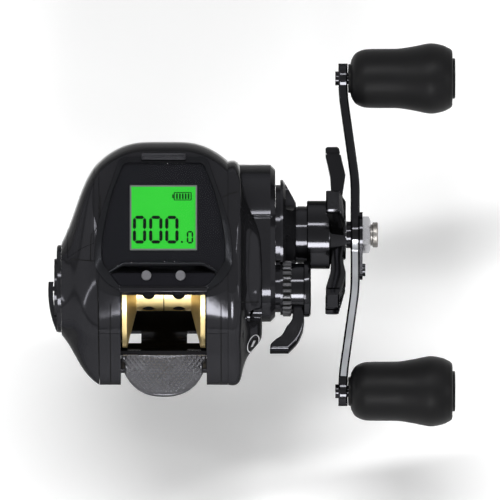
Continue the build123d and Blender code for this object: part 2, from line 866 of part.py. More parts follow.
# Gear side cover with its bosses, the housing of the one-way bearing and the cast control's boss
with BuildPart() as gear_side_cover:
    add(case_form.part)
    add(case_room.part, mode=Mode.SUBTRACT)
    disc(worm_axis, frame_outer, cog_start + cog_width + body_gap, worm_gear_room, mode=Mode.SUBTRACT)
    disc(drive_axis, one_way_start, one_way_end + running_gap, housing_radius)
    disc(spool_axis, pinion_bearing_start, drum_case_end, pinion_bearing_radius + pinion_seat_wall)
    disc(spool_axis, drum_case_end - cover_wall, control_boss_end, control_boss_radius)
    for centre in gear_screw_places:
        disc(centre, frame_outer + seam_gap, gear_screw_seat, screw_boss_radius)
        disc(centre, gear_screw_seat, drum_case_end, screw_head_radius + seam_gap, mode=Mode.SUBTRACT)
        disc(centre, frame_outer, gear_screw_seat, screw_radius + seam_gap, mode=Mode.SUBTRACT)
    disc(drive_axis, frame_outer, one_way_end + overrun, one_way_radius + running_gap, mode=Mode.SUBTRACT)
    disc(spool_axis, frame_outer, pinion_bearing_end, pinion_bearing_radius + running_gap, mode=Mode.SUBTRACT)
    disc(spool_axis, frame_outer, control_boss_end, pinion_hub_radius + body_gap, mode=Mode.SUBTRACT)
    for side in (-1, 1):
        disc((0.0, side * yoke_post_offset), yoke_post_end, drum_case_end - cover_wall / 2, yoke_post_radius)
write_part(gear_side_cover.part, "gear_side_cover")

# Body screws: flat heads in the foot, cap heads in the wells of both covers
with BuildPart() as body_screws:
    for centre in foot_screw_places:
        upright(centre, -seat_to_spool + seam_gap, foot_top + foot_screw_grip - seam_gap, foot_screw_radius)
        with Locations(place(centre[0], centre[1], -seat_to_spool + seam_gap)):
            Cone(
                foot_screw_head_radius - 2 * seam_gap,
                foot_screw_radius,
                foot_screw_head_radius - foot_screw_radius - 2 * seam_gap,
                align=(Align.CENTER, Align.CENTER, Align.MIN),
            )
    for places, seat, side in ((palm_screw_places, palm_screw_seat, -1), (gear_screw_places, gear_screw_seat, 1)):
        for centre in places:
            head = sorted((seat, seat + side * screw_head_height))
            shank = sorted((seat, side * (frame_outer - screw_grip + seam_gap)))
            disc(centre, head[0], head[1], screw_head_radius)
            disc(centre, shank[0], shank[1], screw_radius - running_gap)
            with BuildSketch(side_plane(seat + side * screw_head_height, centre)) as recess:
                Rectangle(screw_slot, 1.5 * screw_head_radius)
                Rectangle(1.5 * screw_head_radius, screw_slot)
            extrude(recess.sketch, amount=-side * screw_head_height / 2, mode=Mode.SUBTRACT)
write_part(body_screws.part, "body_screws")

# Conical outer cap with three scooped pockets and the boss that the star drag covers
with BuildPart() as gear_cover_cap:
    turned(
        drive_axis,
        (
            (cap_start, housing_radius + seam_gap),
            (cap_start, cap_radius - cap_rim_width),
            (cap_rim, cap_radius - cap_rim_width),
            (cap_rim, cap_radius),
            (cap_rim + cap_edge, cap_radius),
            (cap_nose, cap_nose_radius),
            (cap_nose, drive_boss_radius),
            (drive_boss_end, drive_boss_radius),
            (drive_boss_end, sleeve_radius + body_gap),
            (one_way_end + 2 * body_gap, sleeve_radius + body_gap),
            (one_way_end + 2 * body_gap, housing_radius + seam_gap),
        ),
    )
    for angle in pocket_angles:
        spot = Vector(pocket_radius, 0).rotate(Axis.Z, angle)
        with BuildSketch(side_plane(pocket_floor, drive_axis)) as pocket:
            with Locations(Location((spot.X, spot.Y, 0), (0, 0, angle + 90))):
                Ellipse(pocket_length, pocket_width)
        extrude(pocket.sketch, amount=cap_nose - pocket_floor + overrun, mode=Mode.SUBTRACT)
    disc(spool_axis, cap_start - overrun, cap_nose + overrun, control_clearing, mode=Mode.SUBTRACT)
write_part(gear_cover_cap.part, "gear_cover_cap")

# The cast control's hooked lever, with chamfered sides
lever_turn = Vector(1, 0).rotate(Axis.Z, arm_direction + 180 - control_lever_tilt)
lever_plane = Plane(
    origin=place(0.0, 0.0, 0.0),
    x_dir=(1, 0, 0),
    z_dir=(0, -lever_turn.Y, lever_turn.X),
)
with BuildPart() as control_lever:
    with BuildSketch(lever_plane) as hook:
        with BuildLine():
            outer = Spline(*control_lever_outer)
            inner = Spline(*control_lever_inner)
            Line(outer @ 1, inner @ 0)
            Line(inner @ 1, outer @ 0)
        make_face()
    extrude(hook.sketch, amount=control_lever_thickness / 2, both=True)
    lever_sides = control_lever.faces().sort_by(Axis(lever_plane.origin, lever_plane.z_dir))
    chamfer(lever_sides[0].edges() + lever_sides[-1].edges(), control_lever_edge)

# Cast control: knurled cap over the spool's end, with a hooked lever
with BuildPart() as cast_control_knob:
    turned(
        spool_axis,
        (
            (control_start, control_boss_radius - cover_wall / 2),
            (control_start, control_radius),
            (control_grip_end, control_radius),
            (control_grip_end, control_neck_radius),
            (control_smooth_end, control_neck_radius),
            (control_smooth_end, control_rim_radius),
            (control_end - cap_edge, control_rim_radius),
            (control_end, control_rim_radius - cap_edge),
            (control_end, 0.0),
            (control_grip_end, 0.0),
            (control_grip_end, control_boss_radius - cover_wall / 2),
        ),
    )
    with BuildSketch(side_plane(control_start)) as notches:
        with PolarLocations(control_radius, control_notches):
            Circle(control_notch_radius)
    extrude(notches.sketch, amount=control_grip_end - control_start, mode=Mode.SUBTRACT)
    add(control_lever.part)
write_part(cast_control_knob.part, "cast_control_knob")

# Brake dial on the palm cover, with a bowed finger lever
arm_up = Vector(1, 0).rotate(Axis.Z, arm_direction)
down_plane = Plane(origin=place(0.0, 0.0, 0.0), x_dir=(1, 0, 0), z_dir=(0, arm_up.Y, -arm_up.X))
with BuildPart() as brake_dial:
    disc(spool_axis, dial_face, palm_face - seam_gap, dial_radius)
    chamfer(brake_dial.edges().group_by(Axis.X)[0], dial_ridge_height / 2)
    disc(spool_axis, dial_face - dial_ridge_height, dial_face, dial_ridge_radius, dial_ridge_radius - dial_stub_radius)
    with BuildSketch(down_plane) as lever:
        with BuildLine():
            outer = Spline(
                (dial_face + running_gap, dial_radius),
                (dial_lever_end + dial_lever_bow, dial_radius * lever_knee_share),
                (dial_lever_end, dial_radius * dial_lever_shoulder_share),
                (dial_lever_end, -dial_stub_radius),
            )
            Line(outer @ 1, (dial_lever_end + dial_lever_wall, -dial_stub_radius))
            inner = Spline(
                (dial_lever_end + dial_lever_wall, -dial_stub_radius),
                (dial_lever_end + dial_lever_wall, dial_radius * dial_lever_shoulder_share),
                (dial_face, dial_radius * lever_knee_share),
            )
            Line(inner @ 1, outer @ 0)
        make_face()
        with Locations(((dial_face + dial_lever_end) / 2, 0)):
            Rectangle(dial_face - dial_lever_end, dial_lever_wall)
    extrude(lever.sketch, amount=dial_lever_width / 2, both=True)
write_part(brake_dial.part, "brake_dial")

# Magnet holder: a ring that slides on the palm cover's pins, and its magnets
with BuildPart() as magnet_holder:
    holder_end = magnet_holder_start + magnet_holder_thickness
    disc(spool_axis, magnet_holder_start, holder_end, magnet_holder_radius, magnet_holder_bore)
    with BuildSketch(side_plane(magnet_holder_start)) as guides:
        for angle in magnet_guide_angles:
            guide = Vector(magnet_guide_radius, 0).rotate(Axis.Z, angle)
            with Locations((guide.X, guide.Y)):
                Circle(magnet_guide_pin_radius + running_gap)
    extrude(guides.sketch, amount=magnet_holder_thickness, mode=Mode.SUBTRACT)
    with BuildSketch(side_plane(holder_end - magnet_thickness)) as wells:
        with PolarLocations(magnet_ring_radius, magnet_count, start_angle=magnet_guide_angles[0] / 2):
            Circle(magnet_radius + running_gap)
    extrude(wells.sketch, amount=magnet_thickness, mode=Mode.SUBTRACT)
write_part(magnet_holder.part, "magnet_holder")

with BuildPart() as brake_magnets:
    with BuildSketch(side_plane(holder_end - magnet_thickness)) as magnets:
        with PolarLocations(magnet_ring_radius, magnet_count, start_angle=magnet_guide_angles[0] / 2):
            Circle(magnet_radius)
    extrude(magnets.sketch, amount=magnet_thickness)
write_part(brake_magnets.part, "brake_magnets")


def bearing(centre, start, end, radius, bore):
    """A ball bearing as its closed outer shape, with a step on each face between the two races."""
    disc(centre, start, end, radius, bore)
    for face in (start, end - bearing_step):
        disc(centre, face, face + bearing_step, radius - bearing_race, bore + bearing_race, mode=Mode.SUBTRACT)


# Ball bearings of the spool's palm end, of the pinion's hub and of the drive shaft
with BuildPart() as ball_bearings:
    bearing(
        spool_axis,
        spool_bearing_start,
        spool_bearing_end,
        bearing_radius - running_gap,
        spool_shaft_radius + running_gap,
    )
    bearing(
        spool_axis,
        pinion_bearing_start,
        pinion_bearing_end,
        pinion_bearing_radius,
        pinion_hub_radius + running_gap,
    )
    bearing(
        drive_axis,
        drive_bearing_start,
        drive_bearing_start + bearing_thickness,
        drive_bearing_radius - running_gap,
        shaft_radius + running_gap,
    )
write_part(ball_bearings.part, "ball_bearings")

with BuildPart() as anti_reverse_bearing:
    bearing(drive_axis, one_way_start, one_way_end, one_way_radius, sleeve_radius + running_gap)
write_part(anti_reverse_bearing.part, "anti_reverse_bearing")

# Spool with sloping flanges, a hollow drum and its round ports
flange_slope = (spool_half_width - spool_rim - drum_half_width) / (spool_radius - drum_radius)
lip_radius = spool_radius - spool_rim
web_face = drum_half_width + spool_rim
magnet_seat = web_face + flange_slope * (spool_magnet_ring - drum_radius) - spool_rim / 2
with BuildPart() as spool:
    half_outline = (
        (drum_half_width, drum_radius),
        (spool_half_width - spool_rim, spool_radius),
        (spool_half_width, spool_radius),
        (spool_half_width, lip_radius),
        (web_face + flange_slope * (lip_radius - drum_radius), lip_radius - spool_rim / 2),
        (web_face, drum_radius - spool_rim / 2),
        (web_face, spool_shaft_radius + running_gap),
    )
    other_half = [(-across, radius) for across, radius in reversed(half_outline)]
    turned(spool_axis, [*half_outline, *other_half])
    room = drum_half_width - spool_rim
    disc(spool_axis, -room, room, drum_radius - spool_rim, 2 * spool_shaft_radius, mode=Mode.SUBTRACT)
    for number in range(port_count):
        turn = math.radians(port_angle + 360 * number / port_count)
        outward = Vector(0, math.cos(turn), math.sin(turn))
        for side in (-1, 1):
            spot = Vector(*place(side * port_offset, 0.0, 0.0)) + outward * (drum_radius - 2 * spool_rim)
            with BuildSketch(Plane(origin=spot, x_dir=(1, 0, 0), z_dir=outward)):
                Circle(port_radius)
            extrude(amount=2 * spool_rim + overrun, mode=Mode.SUBTRACT)
    with BuildSketch(side_plane(-spool_half_width)) as wells:
        with PolarLocations(spool_magnet_ring, 2):
            Circle(spool_magnet_radius + running_gap)
    extrude(wells.sketch, amount=spool_half_width - magnet_seat, mode=Mode.SUBTRACT)
write_part(spool.part, "spool")

with BuildPart() as spool_magnets:
    with BuildSketch(side_plane(-magnet_seat - spool_magnet_thickness)) as magnets:
        with PolarLocations(spool_magnet_ring, 2):
            Circle(spool_magnet_radius)
    extrude(magnets.sketch, amount=spool_magnet_thickness)
write_part(spool_magnets.part, "spool_magnets")

with BuildPart() as spool_shaft:
    disc(spool_axis, spool_bearing_start + seam_gap, control_grip_end - shim_thickness - seam_gap, spool_shaft_radius)
    with Locations(place(spool_pin_across, 0.0, 0.0)):
        Cylinder(spool_pin_radius + running_gap / 2, 2 * overrun + spool_pin_length, mode=Mode.SUBTRACT)
write_part(spool_shaft.part, "spool_shaft")

with BuildPart() as spool_pin:
    with Locations(place(spool_pin_across, 0.0, 0.0)):
        Cylinder(spool_pin_radius, spool_pin_length)
write_part(spool_pin.part, "spool_pin")

with BuildPart() as cast_control_shim:
    disc(spool_axis, control_grip_end - shim_thickness, control_grip_end, control_boss_radius - 2 * cover_wall)
write_part(cast_control_shim.part, "cast_control_shim")

# Pinion on the spool shaft: teeth, the yoke's groove and a hub in its bearing
pinion_facing = math.atan2(drive_axis[1] - spool_axis[1], drive_axis[0] - spool_axis[0])
with BuildPart() as pinion_gear:
    pinion_face = gear_outline(
        spool_axis, pinion_start, pinion_teeth, gear_module, *pinion_tooth_shares, pinion_facing + math.pi / pinion_teeth
    )
    extrude(pinion_face, amount=pinion_groove_start - pinion_start)
    disc(spool_axis, pinion_groove_start, pinion_groove_end, pinion_groove_radius)
    disc(spool_axis, pinion_groove_end, pinion_end, pinion_hub_radius)
    disc(spool_axis, pinion_start, pinion_end, spool_shaft_radius + 1.5 * running_gap, mode=Mode.SUBTRACT)
    slot_half = spool_pin_radius + 2 * running_gap
    slot_end = pinion_start + pinion_slot_depth
    box_cut((pinion_start, -slot_half, -spool_pin_length), (slot_end, slot_half, spool_pin_length))
write_part(pinion_gear.part, "pinion_gear")

# Clutch yoke: a fork in the pinion's groove that slides on two posts against two springs
yoke_start = (pinion_groove_start + pinion_groove_end - yoke_thickness) / 2
yoke_end = yoke_start + yoke_thickness
with BuildPart() as clutch_yoke:
    with BuildSketch(side_plane(yoke_start)) as yoke:
        RectangleRounded(2 * yoke_half_width, 2 * yoke_half_height, yoke_half_width / 2)
        with Locations((-yoke_half_width, 0)):
            SlotCenterToCenter(2 * yoke_half_width, 2 * (pinion_groove_radius + 2 * running_gap), mode=Mode.SUBTRACT)
        with Locations((0, -yoke_post_offset), (0, yoke_post_offset)):
            Circle(yoke_post_radius + running_gap, mode=Mode.SUBTRACT)
    extrude(yoke.sketch, amount=yoke_thickness)
write_part(clutch_yoke.part, "clutch_yoke")

# Drive shaft with the flange that carries the drive gear
with BuildPart() as drive_shaft:
    disc(drive_axis, shaft_start, drive_end, shaft_radius)
    disc(drive_axis, gear_flange_start, gear_start - running_gap, gear_flange_radius)
write_part(drive_shaft.part, "drive_shaft")

well_start = gear_start + gear_width - washer_well_depth
with BuildPart() as drive_gear:
    drive_face = gear_outline(
        drive_axis, gear_start, drive_teeth, gear_module, *drive_tooth_shares, pinion_facing + math.pi
    )
    extrude(drive_face, amount=gear_width)
    disc(drive_axis, well_start, gear_start + gear_width, washer_radius + seam_gap, mode=Mode.SUBTRACT)
    disc(drive_axis, gear_start, gear_start + gear_width, shaft_radius + running_gap, mode=Mode.SUBTRACT)
write_part(drive_gear.part, "drive_gear")

plate_start = well_start + washer_thickness + running_gap
plate_end = plate_start + pressure_plate_thickness
with BuildPart() as drag_washers:
    for start in (well_start, plate_end + running_gap):
        disc(drive_axis, start, start + washer_thickness, pressure_plate_radius, shaft_radius + seam_gap)
write_part(drag_washers.part, "drag_washers")

with BuildPart() as pressure_plate:
    disc(drive_axis, plate_start, plate_end, pressure_plate_radius, shaft_radius + seam_gap)
write_part(pressure_plate.part, "pressure_plate")

with BuildPart() as drive_sleeve:
    sleeve_start = plate_end + washer_thickness + 2 * running_gap
    disc(drive_axis, sleeve_start, sleeve_end, sleeve_radius, shaft_radius + running_gap)
write_part(drive_sleeve.part, "drive_sleeve")

# Spring washers on the sleeve, coned against each other
with BuildPart() as drag_springs:
    for number in range(2):
        low = spring_start + number * (2 * spring_thickness + running_gap)
        lean = spring_thickness if number == 0 else 0.0
        rise = spring_thickness - lean
        turned(
            drive_axis,
            (
                (low + lean, sleeve_radius + running_gap),
                (low + lean + spring_thickness, sleeve_radius + running_gap),
                (low + rise + spring_thickness, spring_radius),
                (low + rise, spring_radius),
            ),
        )
write_part(drag_springs.part, "drag_springs")

# Star drag: a skirt over the drive boss, a hub and five swept arms
with BuildPart() as star_arm:
    star_plane = Plane(origin=place(0.0, *drive_axis), x_dir=(1, 0, 0), z_dir=(0, -1, 0))
    with BuildSketch(star_plane):
        with BuildLine():
            rising = Spline(
                (star_hub_start, star_hub_radius),
                (star_hub_start, star_reach * star_neck_share),
                (star_arm_start, star_reach * star_bend_share),
                (star_tip_start, star_reach - star_tip_round),
            )
            tip = Spline(
                rising @ 1,
                ((star_tip_start + star_tip_end) / 2, star_reach),
                (star_tip_end, star_reach - star_tip_round),
            )
            falling = Spline(
                tip @ 1,
                (star_hub_end, star_reach * star_bend_share),
                (star_arm_end, star_reach * star_neck_share),
                (star_hub_end, star_hub_radius),
            )
            Line(falling @ 1, rising @ 0)
        make_face()
    extrude(amount=star_arm_width / 2, both=True)
    fillet(star_arm.edges().filter_by(GeomType.BSPLINE), star_edge)
with BuildPart() as star_drag:
    turned(
        drive_axis,
        (
            (star_skirt_start, star_skirt_radius - star_skirt_wall),
            (star_skirt_start, star_skirt_radius),
            (star_hub_start, star_skirt_radius),
            (star_hub_end, star_hub_radius),
            (star_hub_end, shaft_radius + running_gap),
            (star_skirt_end, shaft_radius + running_gap),
            (star_skirt_end, star_skirt_radius - star_skirt_wall),
        ),
    )
    for number in range(star_arms):
        angle = arm_direction + star_turn - 90 + 360 * number / star_arms
        add(star_arm.part.rotate(turning_axis(drive_axis), angle))
    disc(drive_axis, star_skirt_start, star_skirt_end, star_skirt_radius - star_skirt_wall, mode=Mode.SUBTRACT)
    disc(drive_axis, star_skirt_end, star_hub_end, shaft_radius + running_gap, mode=Mode.SUBTRACT)
write_part(star_drag.part, "star_drag")

# Handle: spacer, cranked arm, retainer plate with its screw, hex nut and cap
with BuildPart() as handle_spacer:
    disc(drive_axis, star_hub_end + seam_gap, arm_start, spacer_radius, shaft_radius + running_gap)
write_part(handle_spacer.part, "handle_spacer")

arm_plane = Plane(origin=place(0.0, *drive_axis), x_dir=(1, 0, 0), z_dir=(0, -arm_up.Y, arm_up.X))
arm_end = arm_start + arm_thickness
arm_limit = arm_reach + arm_width / 2
with BuildPart() as handle_arm:
    with BuildSketch(arm_plane):
        with BuildLine():
            FilletPolyline(
                (arm_start, 0),
                (arm_start, arm_bend_from),
                (arm_start - arm_crank, arm_bend_to),
                (arm_start - arm_crank, arm_limit),
                (arm_end - arm_crank, arm_limit),
                (arm_end - arm_crank, arm_bend_to + arm_bend_lead),
                (arm_end, arm_bend_from + arm_bend_lead),
                (arm_end, 0),
                radius=(arm_bend_radius, arm_bend_radius, arm_edge, arm_edge, arm_bend_radius, arm_bend_radius),
            )
            Line((arm_end, 0), (arm_start, 0))
        make_face()
        mirror(about=Plane.XZ)
    extrude(amount=arm_width, both=True)
    with BuildSketch(side_plane(arm_start - arm_crank - overrun, drive_axis)) as plan:
        SlotCenterToCenter(2 * arm_reach, arm_bar_width, rotation=arm_direction)
        Circle(arm_hub_radius)
        for side in (-1, 1):
            with Locations((side * arm_reach * arm_up.X, side * arm_reach * arm_up.Y)):
                Circle(arm_width / 2)
    extrude(plan.sketch, amount=arm_crank + arm_thickness + 2 * overrun, mode=Mode.INTERSECT)
    disc(drive_axis, arm_start, arm_end, shaft_radius + running_gap, mode=Mode.SUBTRACT)
    for side in (-1, 1):
        centre = (drive_axis[0] + side * arm_reach * arm_up.X, drive_axis[1] + side * arm_reach * arm_up.Y)
        disc(centre, arm_start - arm_crank, arm_end - arm_crank, post_radius + running_gap, mode=Mode.SUBTRACT)
    screw_centre = (drive_axis[0] - retainer_drop * arm_up.X, drive_axis[1] - retainer_drop * arm_up.Y)
    disc(screw_centre, arm_start, arm_end, retainer_screw_radius + running_gap, mode=Mode.SUBTRACT)
write_part(handle_arm.part, "handle_arm")

plate_face = arm_end + retainer_thickness
with BuildPart() as retainer_plate:
    with BuildSketch(side_plane(arm_end)) as plate:
        with Locations(drive_axis):
            Circle(retainer_radius)
        with Locations(screw_centre):
            Circle(retainer_tail_radius)
        make_hull()
        with Locations(drive_axis):
            Circle(shaft_radius + running_gap, mode=Mode.SUBTRACT)
        with Locations(screw_centre):
            Circle(retainer_screw_radius + running_gap, mode=Mode.SUBTRACT)
    extrude(plate.sketch, amount=retainer_thickness)
write_part(retainer_plate.part, "retainer_plate")


nut_end = plate_face + nut_thickness
with BuildPart() as handle_nut:
    with BuildSketch(side_plane(plate_face, drive_axis)) as hexagon:
        RegularPolygon(nut_across_flats / 2, 6, major_radius=False, rotation=arm_direction)
        Circle(shaft_radius + running_gap, mode=Mode.SUBTRACT)
    extrude(hexagon.sketch, amount=nut_thickness)
    turned(
        drive_axis,
        (
            (plate_face, 0),
            (plate_face, nut_across_flats),
            (nut_end - nut_edge, nut_across_flats / 2 + nut_edge),
            (nut_end, nut_across_flats / 2 - nut_edge),
            (nut_end, 0),
        ),
        mode=Mode.INTERSECT,
    )
write_part(handle_nut.part, "handle_nut")

with BuildPart() as nut_cap:
    disc(drive_axis, nut_end, nut_end + nut_cap_height, nut_cap_radius)
    fillet(nut_cap.edges().group_by(Axis.X)[-1], nut_cap_height / 2)
write_part(nut_cap.part, "nut_cap")

# Knobs on their posts: grip, bushes, end cap and post screw. The retainer's screw joins the posts' screws.
knob_centres = {}
for name, side in (("knob_a", 1), ("knob_b", -1)):
    knob_centres[name] = (drive_axis[0] + side * arm_reach * arm_up.X, drive_axis[1] + side * arm_reach * arm_up.Y)
post_start = arm_start - arm_crank - post_head
with BuildPart() as knob_posts:
    for centre in knob_centres.values():
        disc(centre, post_start, post_start + post_head, post_head_radius)
        disc(centre, post_start + post_head, post_end, post_radius)
write_part(knob_posts.part, "knob_posts")

with BuildPart() as handle_screws:
    disc(screw_centre, arm_start + seam_gap, plate_face, retainer_screw_radius)
    disc(screw_centre, plate_face, plate_face + retainer_head, retainer_head_radius)
    with BuildSketch(side_plane(plate_face + retainer_head, screw_centre)) as slot:
        Rectangle(2 * retainer_head_radius, screw_slot)
    extrude(slot.sketch, amount=-retainer_head / 2, mode=Mode.SUBTRACT)
    for centre in knob_centres.values():
        disc(centre, post_end, post_end + post_screw_head, post_head_radius)
        with BuildSketch(side_plane(post_end + post_screw_head, centre)) as slot:
            Rectangle(2 * post_head_radius, screw_slot)
        extrude(slot.sketch, amount=-post_screw_head / 2, mode=Mode.SUBTRACT)
write_part(handle_screws.part, "handle_screws")

knob_bore = post_head_radius + post_radius / 2
for name, centre in knob_centres.items():
    with BuildPart() as knob:
        with BuildSketch(turning_plane(centre)) as profile:
            with BuildLine():
                grip = Spline(*[(knob_start + along * knob_length, radius * knob_radius)
                                for along, radius in knob_outline_shares])
                Polyline(
                    grip @ 1,
                    (knob_end, knob_bore),
                    (knob_start - knob_collar, knob_bore),
                    (knob_start - knob_collar, knob_collar_radius),
                    (knob_start + knob_collar, knob_collar_radius),
                    grip @ 0,
                )
            make_face()
        revolve(profile.sketch, axis=turning_axis(centre))
        disc(centre, knob_end - knob_cap_seat, knob_end, knob_cap_radius + running_gap, mode=Mode.SUBTRACT)
    write_part(knob.part, name)
    with BuildPart() as knob_cap:
        disc(centre, knob_end - knob_cap_seat, knob_end + knob_cap_proud, knob_cap_radius)
        fillet(knob_cap.edges().group_by(Axis.X)[-1], knob_cap_proud * 0.9)
    write_part(knob_cap.part, f"{name}_cap")

with BuildPart() as knob_bushes:
    for centre in knob_centres.values():
        for start in (knob_start, post_end - knob_bush_length - seam_gap):
            disc(centre, start, start + knob_bush_length, knob_bore - running_gap, post_radius + running_gap)
write_part(knob_bushes.part, "knob_bushes")

# Thumb bar: a half-round pad that slopes back and down, with an ear in each plate's slot
thumb_slope = math.asin(thumb_drop / thumb_length)
thumb_plane = Plane(
    origin=place(0.0, thumb_front, thumb_up),
    x_dir=(1, 0, 0),
    z_dir=(0, -math.sin(thumb_slope), math.cos(thumb_slope)),
)
with BuildPart() as thumb_bar:
    with BuildSketch(thumb_plane):
        Circle(thumb_length)
        with Locations((0, -thumb_length / 2)):
            Rectangle(2 * thumb_half_width, thumb_length, mode=Mode.INTERSECT)
    extrude(amount=-thumb_thickness)
    fillet(thumb_bar.edges().group_by(Axis((0, 0, 0), thumb_plane.z_dir))[-1], thumb_edge)
    for side in (-1, 1):
        across = sorted((side * (thumb_half_width - ear_depth), side * (frame_inner + ear_depth)))
        box_cut(
            (across[0], ear_back, ear_up - ear_thickness),
            (across[1], ear_back + ear_length, ear_up),
            mode=Mode.ADD,
        )
write_part(thumb_bar.part, "thumb_bar")

# Level wind: cog on the drive shaft, worm shaft with its gear, guide rod and line guide
worm_facing = math.atan2(worm_axis[1] - drive_axis[1], worm_axis[0] - drive_axis[0])
with BuildPart() as level_wind_cog:
    cog_face = gear_outline(drive_axis, cog_start, cog_teeth, worm_module, *cog_tooth_shares, worm_facing)
    extrude(cog_face, amount=cog_width)
    disc(drive_axis, cog_start, cog_start + cog_width, shaft_radius + running_gap, mode=Mode.SUBTRACT)
write_part(level_wind_cog.part, "level_wind_cog")

with BuildPart() as worm_gear:
    worm_gear_face = gear_outline(
        worm_axis,
        cog_start,
        worm_gear_teeth,
        worm_module,
        *cog_tooth_shares,
        worm_facing + math.pi + math.pi / worm_gear_teeth,
    )
    extrude(worm_gear_face, amount=cog_width)
    disc(worm_axis, cog_start, cog_start + cog_width, journal_radius + running_gap, mode=Mode.SUBTRACT)
write_part(worm_gear.part, "worm_gear")

with BuildPart() as worm_shaft:
    disc(worm_axis, -frame_inner - bush_length + seam_gap, worm_shaft_end, journal_radius)
    disc(worm_axis, -frame_inner + seam_gap, frame_inner - seam_gap, worm_radius)
write_part(worm_shaft.part, "worm_shaft")

with BuildPart() as worm_bushes:
    for start in (-frame_inner - bush_length, frame_inner):
        disc(worm_axis, start, start + bush_length, bush_radius - running_gap, journal_radius + running_gap)
write_part(worm_bushes.part, "worm_bushes")

rod_half = frame_inner + bush_length - seam_gap
with BuildPart() as guide_rod:
    disc(guide_rod_axis, -rod_half, rod_half, guide_rod_radius - running_gap)
write_part(guide_rod.part, "guide_rod")

eye_centre = (guide_rod_axis[0], guide_eye_up + guide_eye_radius)
with BuildPart() as line_guide:
    with BuildSketch(side_plane(-guide_half_width)):
        with Locations(worm_axis):
            Circle(guide_block_radius)
        with Locations(guide_rod_axis):
            Circle(guide_rod_radius + cover_wall)
        with Locations(eye_centre):
            RectangleRounded(guide_arm_width, 2 * guide_eye_radius + guide_arm_width / 2, guide_arm_width / 4)
        make_hull()
    extrude(amount=2 * guide_half_width)
    disc(worm_axis, -guide_half_width, guide_half_width, worm_radius + 1.6 * running_gap, mode=Mode.SUBTRACT)
    disc(guide_rod_axis, -guide_half_width, guide_half_width, guide_rod_radius + running_gap, mode=Mode.SUBTRACT)
    with BuildSketch(Plane(origin=place(0.0, 0.0, eye_centre[1]), x_dir=(1, 0, 0), z_dir=(0, 1, 0))):
        Circle(guide_eye_radius)
    extrude(amount=nose_radius + overrun, mode=Mode.SUBTRACT)
write_part(line_guide.part, "line_guide")

with BuildPart() as guide_insert:
    insert_from = eye_centre[0] - guide_arm_width / 2
    with BuildSketch(Plane(origin=place(0.0, insert_from, eye_centre[1]), x_dir=(1, 0, 0), z_dir=(0, 1, 0))):
        Circle(guide_eye_radius - running_gap)
        Circle(guide_eye_bore, mode=Mode.SUBTRACT)
    extrude(amount=guide_arm_width)
write_part(guide_insert.part, "guide_insert")

# Yoke springs: coils on the two posts between the yoke and the cover
with BuildPart() as yoke_springs:
    for side in (-1, 1):
        centre = (0.0, side * yoke_post_offset)
        spring_end = drum_case_end - cover_wall - running_gap
        disc(centre, yoke_end + yoke_travel + seam_gap, spring_end, yoke_spring_radius, yoke_post_radius + seam_gap)
write_part(yoke_springs.part, "yoke_springs")
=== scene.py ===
"""Looks of the low-profile fishing reel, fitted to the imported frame.

Places on the reel are given in millimetres from the spool's axis, as across (to the handle), forward
(to the rod tip) and up. Every surface is worked out as whole arrays and put into its mesh in metres.
"""

import logging
import math
from dataclasses import dataclass
from enum import Enum
from typing import Callable, Optional, Sequence

import bmesh
import bpy
import numpy as np
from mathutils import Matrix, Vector
from mathutils.bvhtree import BVHTree


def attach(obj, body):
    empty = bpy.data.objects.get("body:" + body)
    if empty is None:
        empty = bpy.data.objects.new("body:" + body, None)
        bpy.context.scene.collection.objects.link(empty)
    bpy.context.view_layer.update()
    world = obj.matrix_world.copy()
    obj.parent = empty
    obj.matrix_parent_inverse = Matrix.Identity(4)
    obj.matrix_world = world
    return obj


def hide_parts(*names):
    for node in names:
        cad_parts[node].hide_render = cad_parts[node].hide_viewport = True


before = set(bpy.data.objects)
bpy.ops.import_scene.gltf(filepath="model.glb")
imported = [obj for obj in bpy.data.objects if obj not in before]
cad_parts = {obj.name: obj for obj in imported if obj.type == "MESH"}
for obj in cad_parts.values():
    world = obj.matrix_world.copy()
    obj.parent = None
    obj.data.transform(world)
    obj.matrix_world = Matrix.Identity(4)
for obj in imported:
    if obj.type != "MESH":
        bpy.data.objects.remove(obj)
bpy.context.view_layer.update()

MM = 0.001
SEAT_TO_SPOOL = 23.5
FOOT_AHEAD = 6.0
DISPLAY_SLOPE = math.radians(26.0)
DISPLAY_BACK = -12.5
DISPLAY_UP = 19.7
DRIVE_AXIS = (19.98, -0.91)
SPOOL_AXIS = (0.0, 0.0)
ARM_DIRECTION = math.radians(30.0)
CAMERA_ELEVATION = math.radians(60.0)
SIGHT = np.array((0.0, -math.cos(CAMERA_ELEVATION), math.sin(CAMERA_ELEVATION)))
PATCH_RANGE = (0.3, 0.7)
RIPPLE_SCALE = 180.0
LOG = logging.getLogger("reel")

Array = np.ndarray
Pair = tuple[float, float]
Triple = tuple[float, float, float]


# Finishes


def put(node: bpy.types.Node, **values: object) -> None:
    """Set a node's inputs; a name's underscores stand for spaces."""
    for name, value in values.items():
        node.inputs[name.replace("_", " ")].default_value = value


def add(nodes: bpy.types.Nodes, kind: str, **values: object) -> bpy.types.Node:
    """Return a new shader node of a kind, with its inputs set.

    Args:
        nodes: The material's nodes.
        kind: The node's type, without its ShaderNode.
        values: The values of its inputs, by name.

    Returns:
        The node.
    """
    made = nodes.new(f"ShaderNode{kind}")
    put(made, **values)
    return made


def wire(links: bpy.types.NodeLinks, *wires: tuple[bpy.types.Node, str, bpy.types.Node, str]) -> None:
    """Join nodes: each wire names a node, its output, the next node and its input."""
    for source, output, target, entry in wires:
        links.new(source.outputs[output], target.inputs[entry])


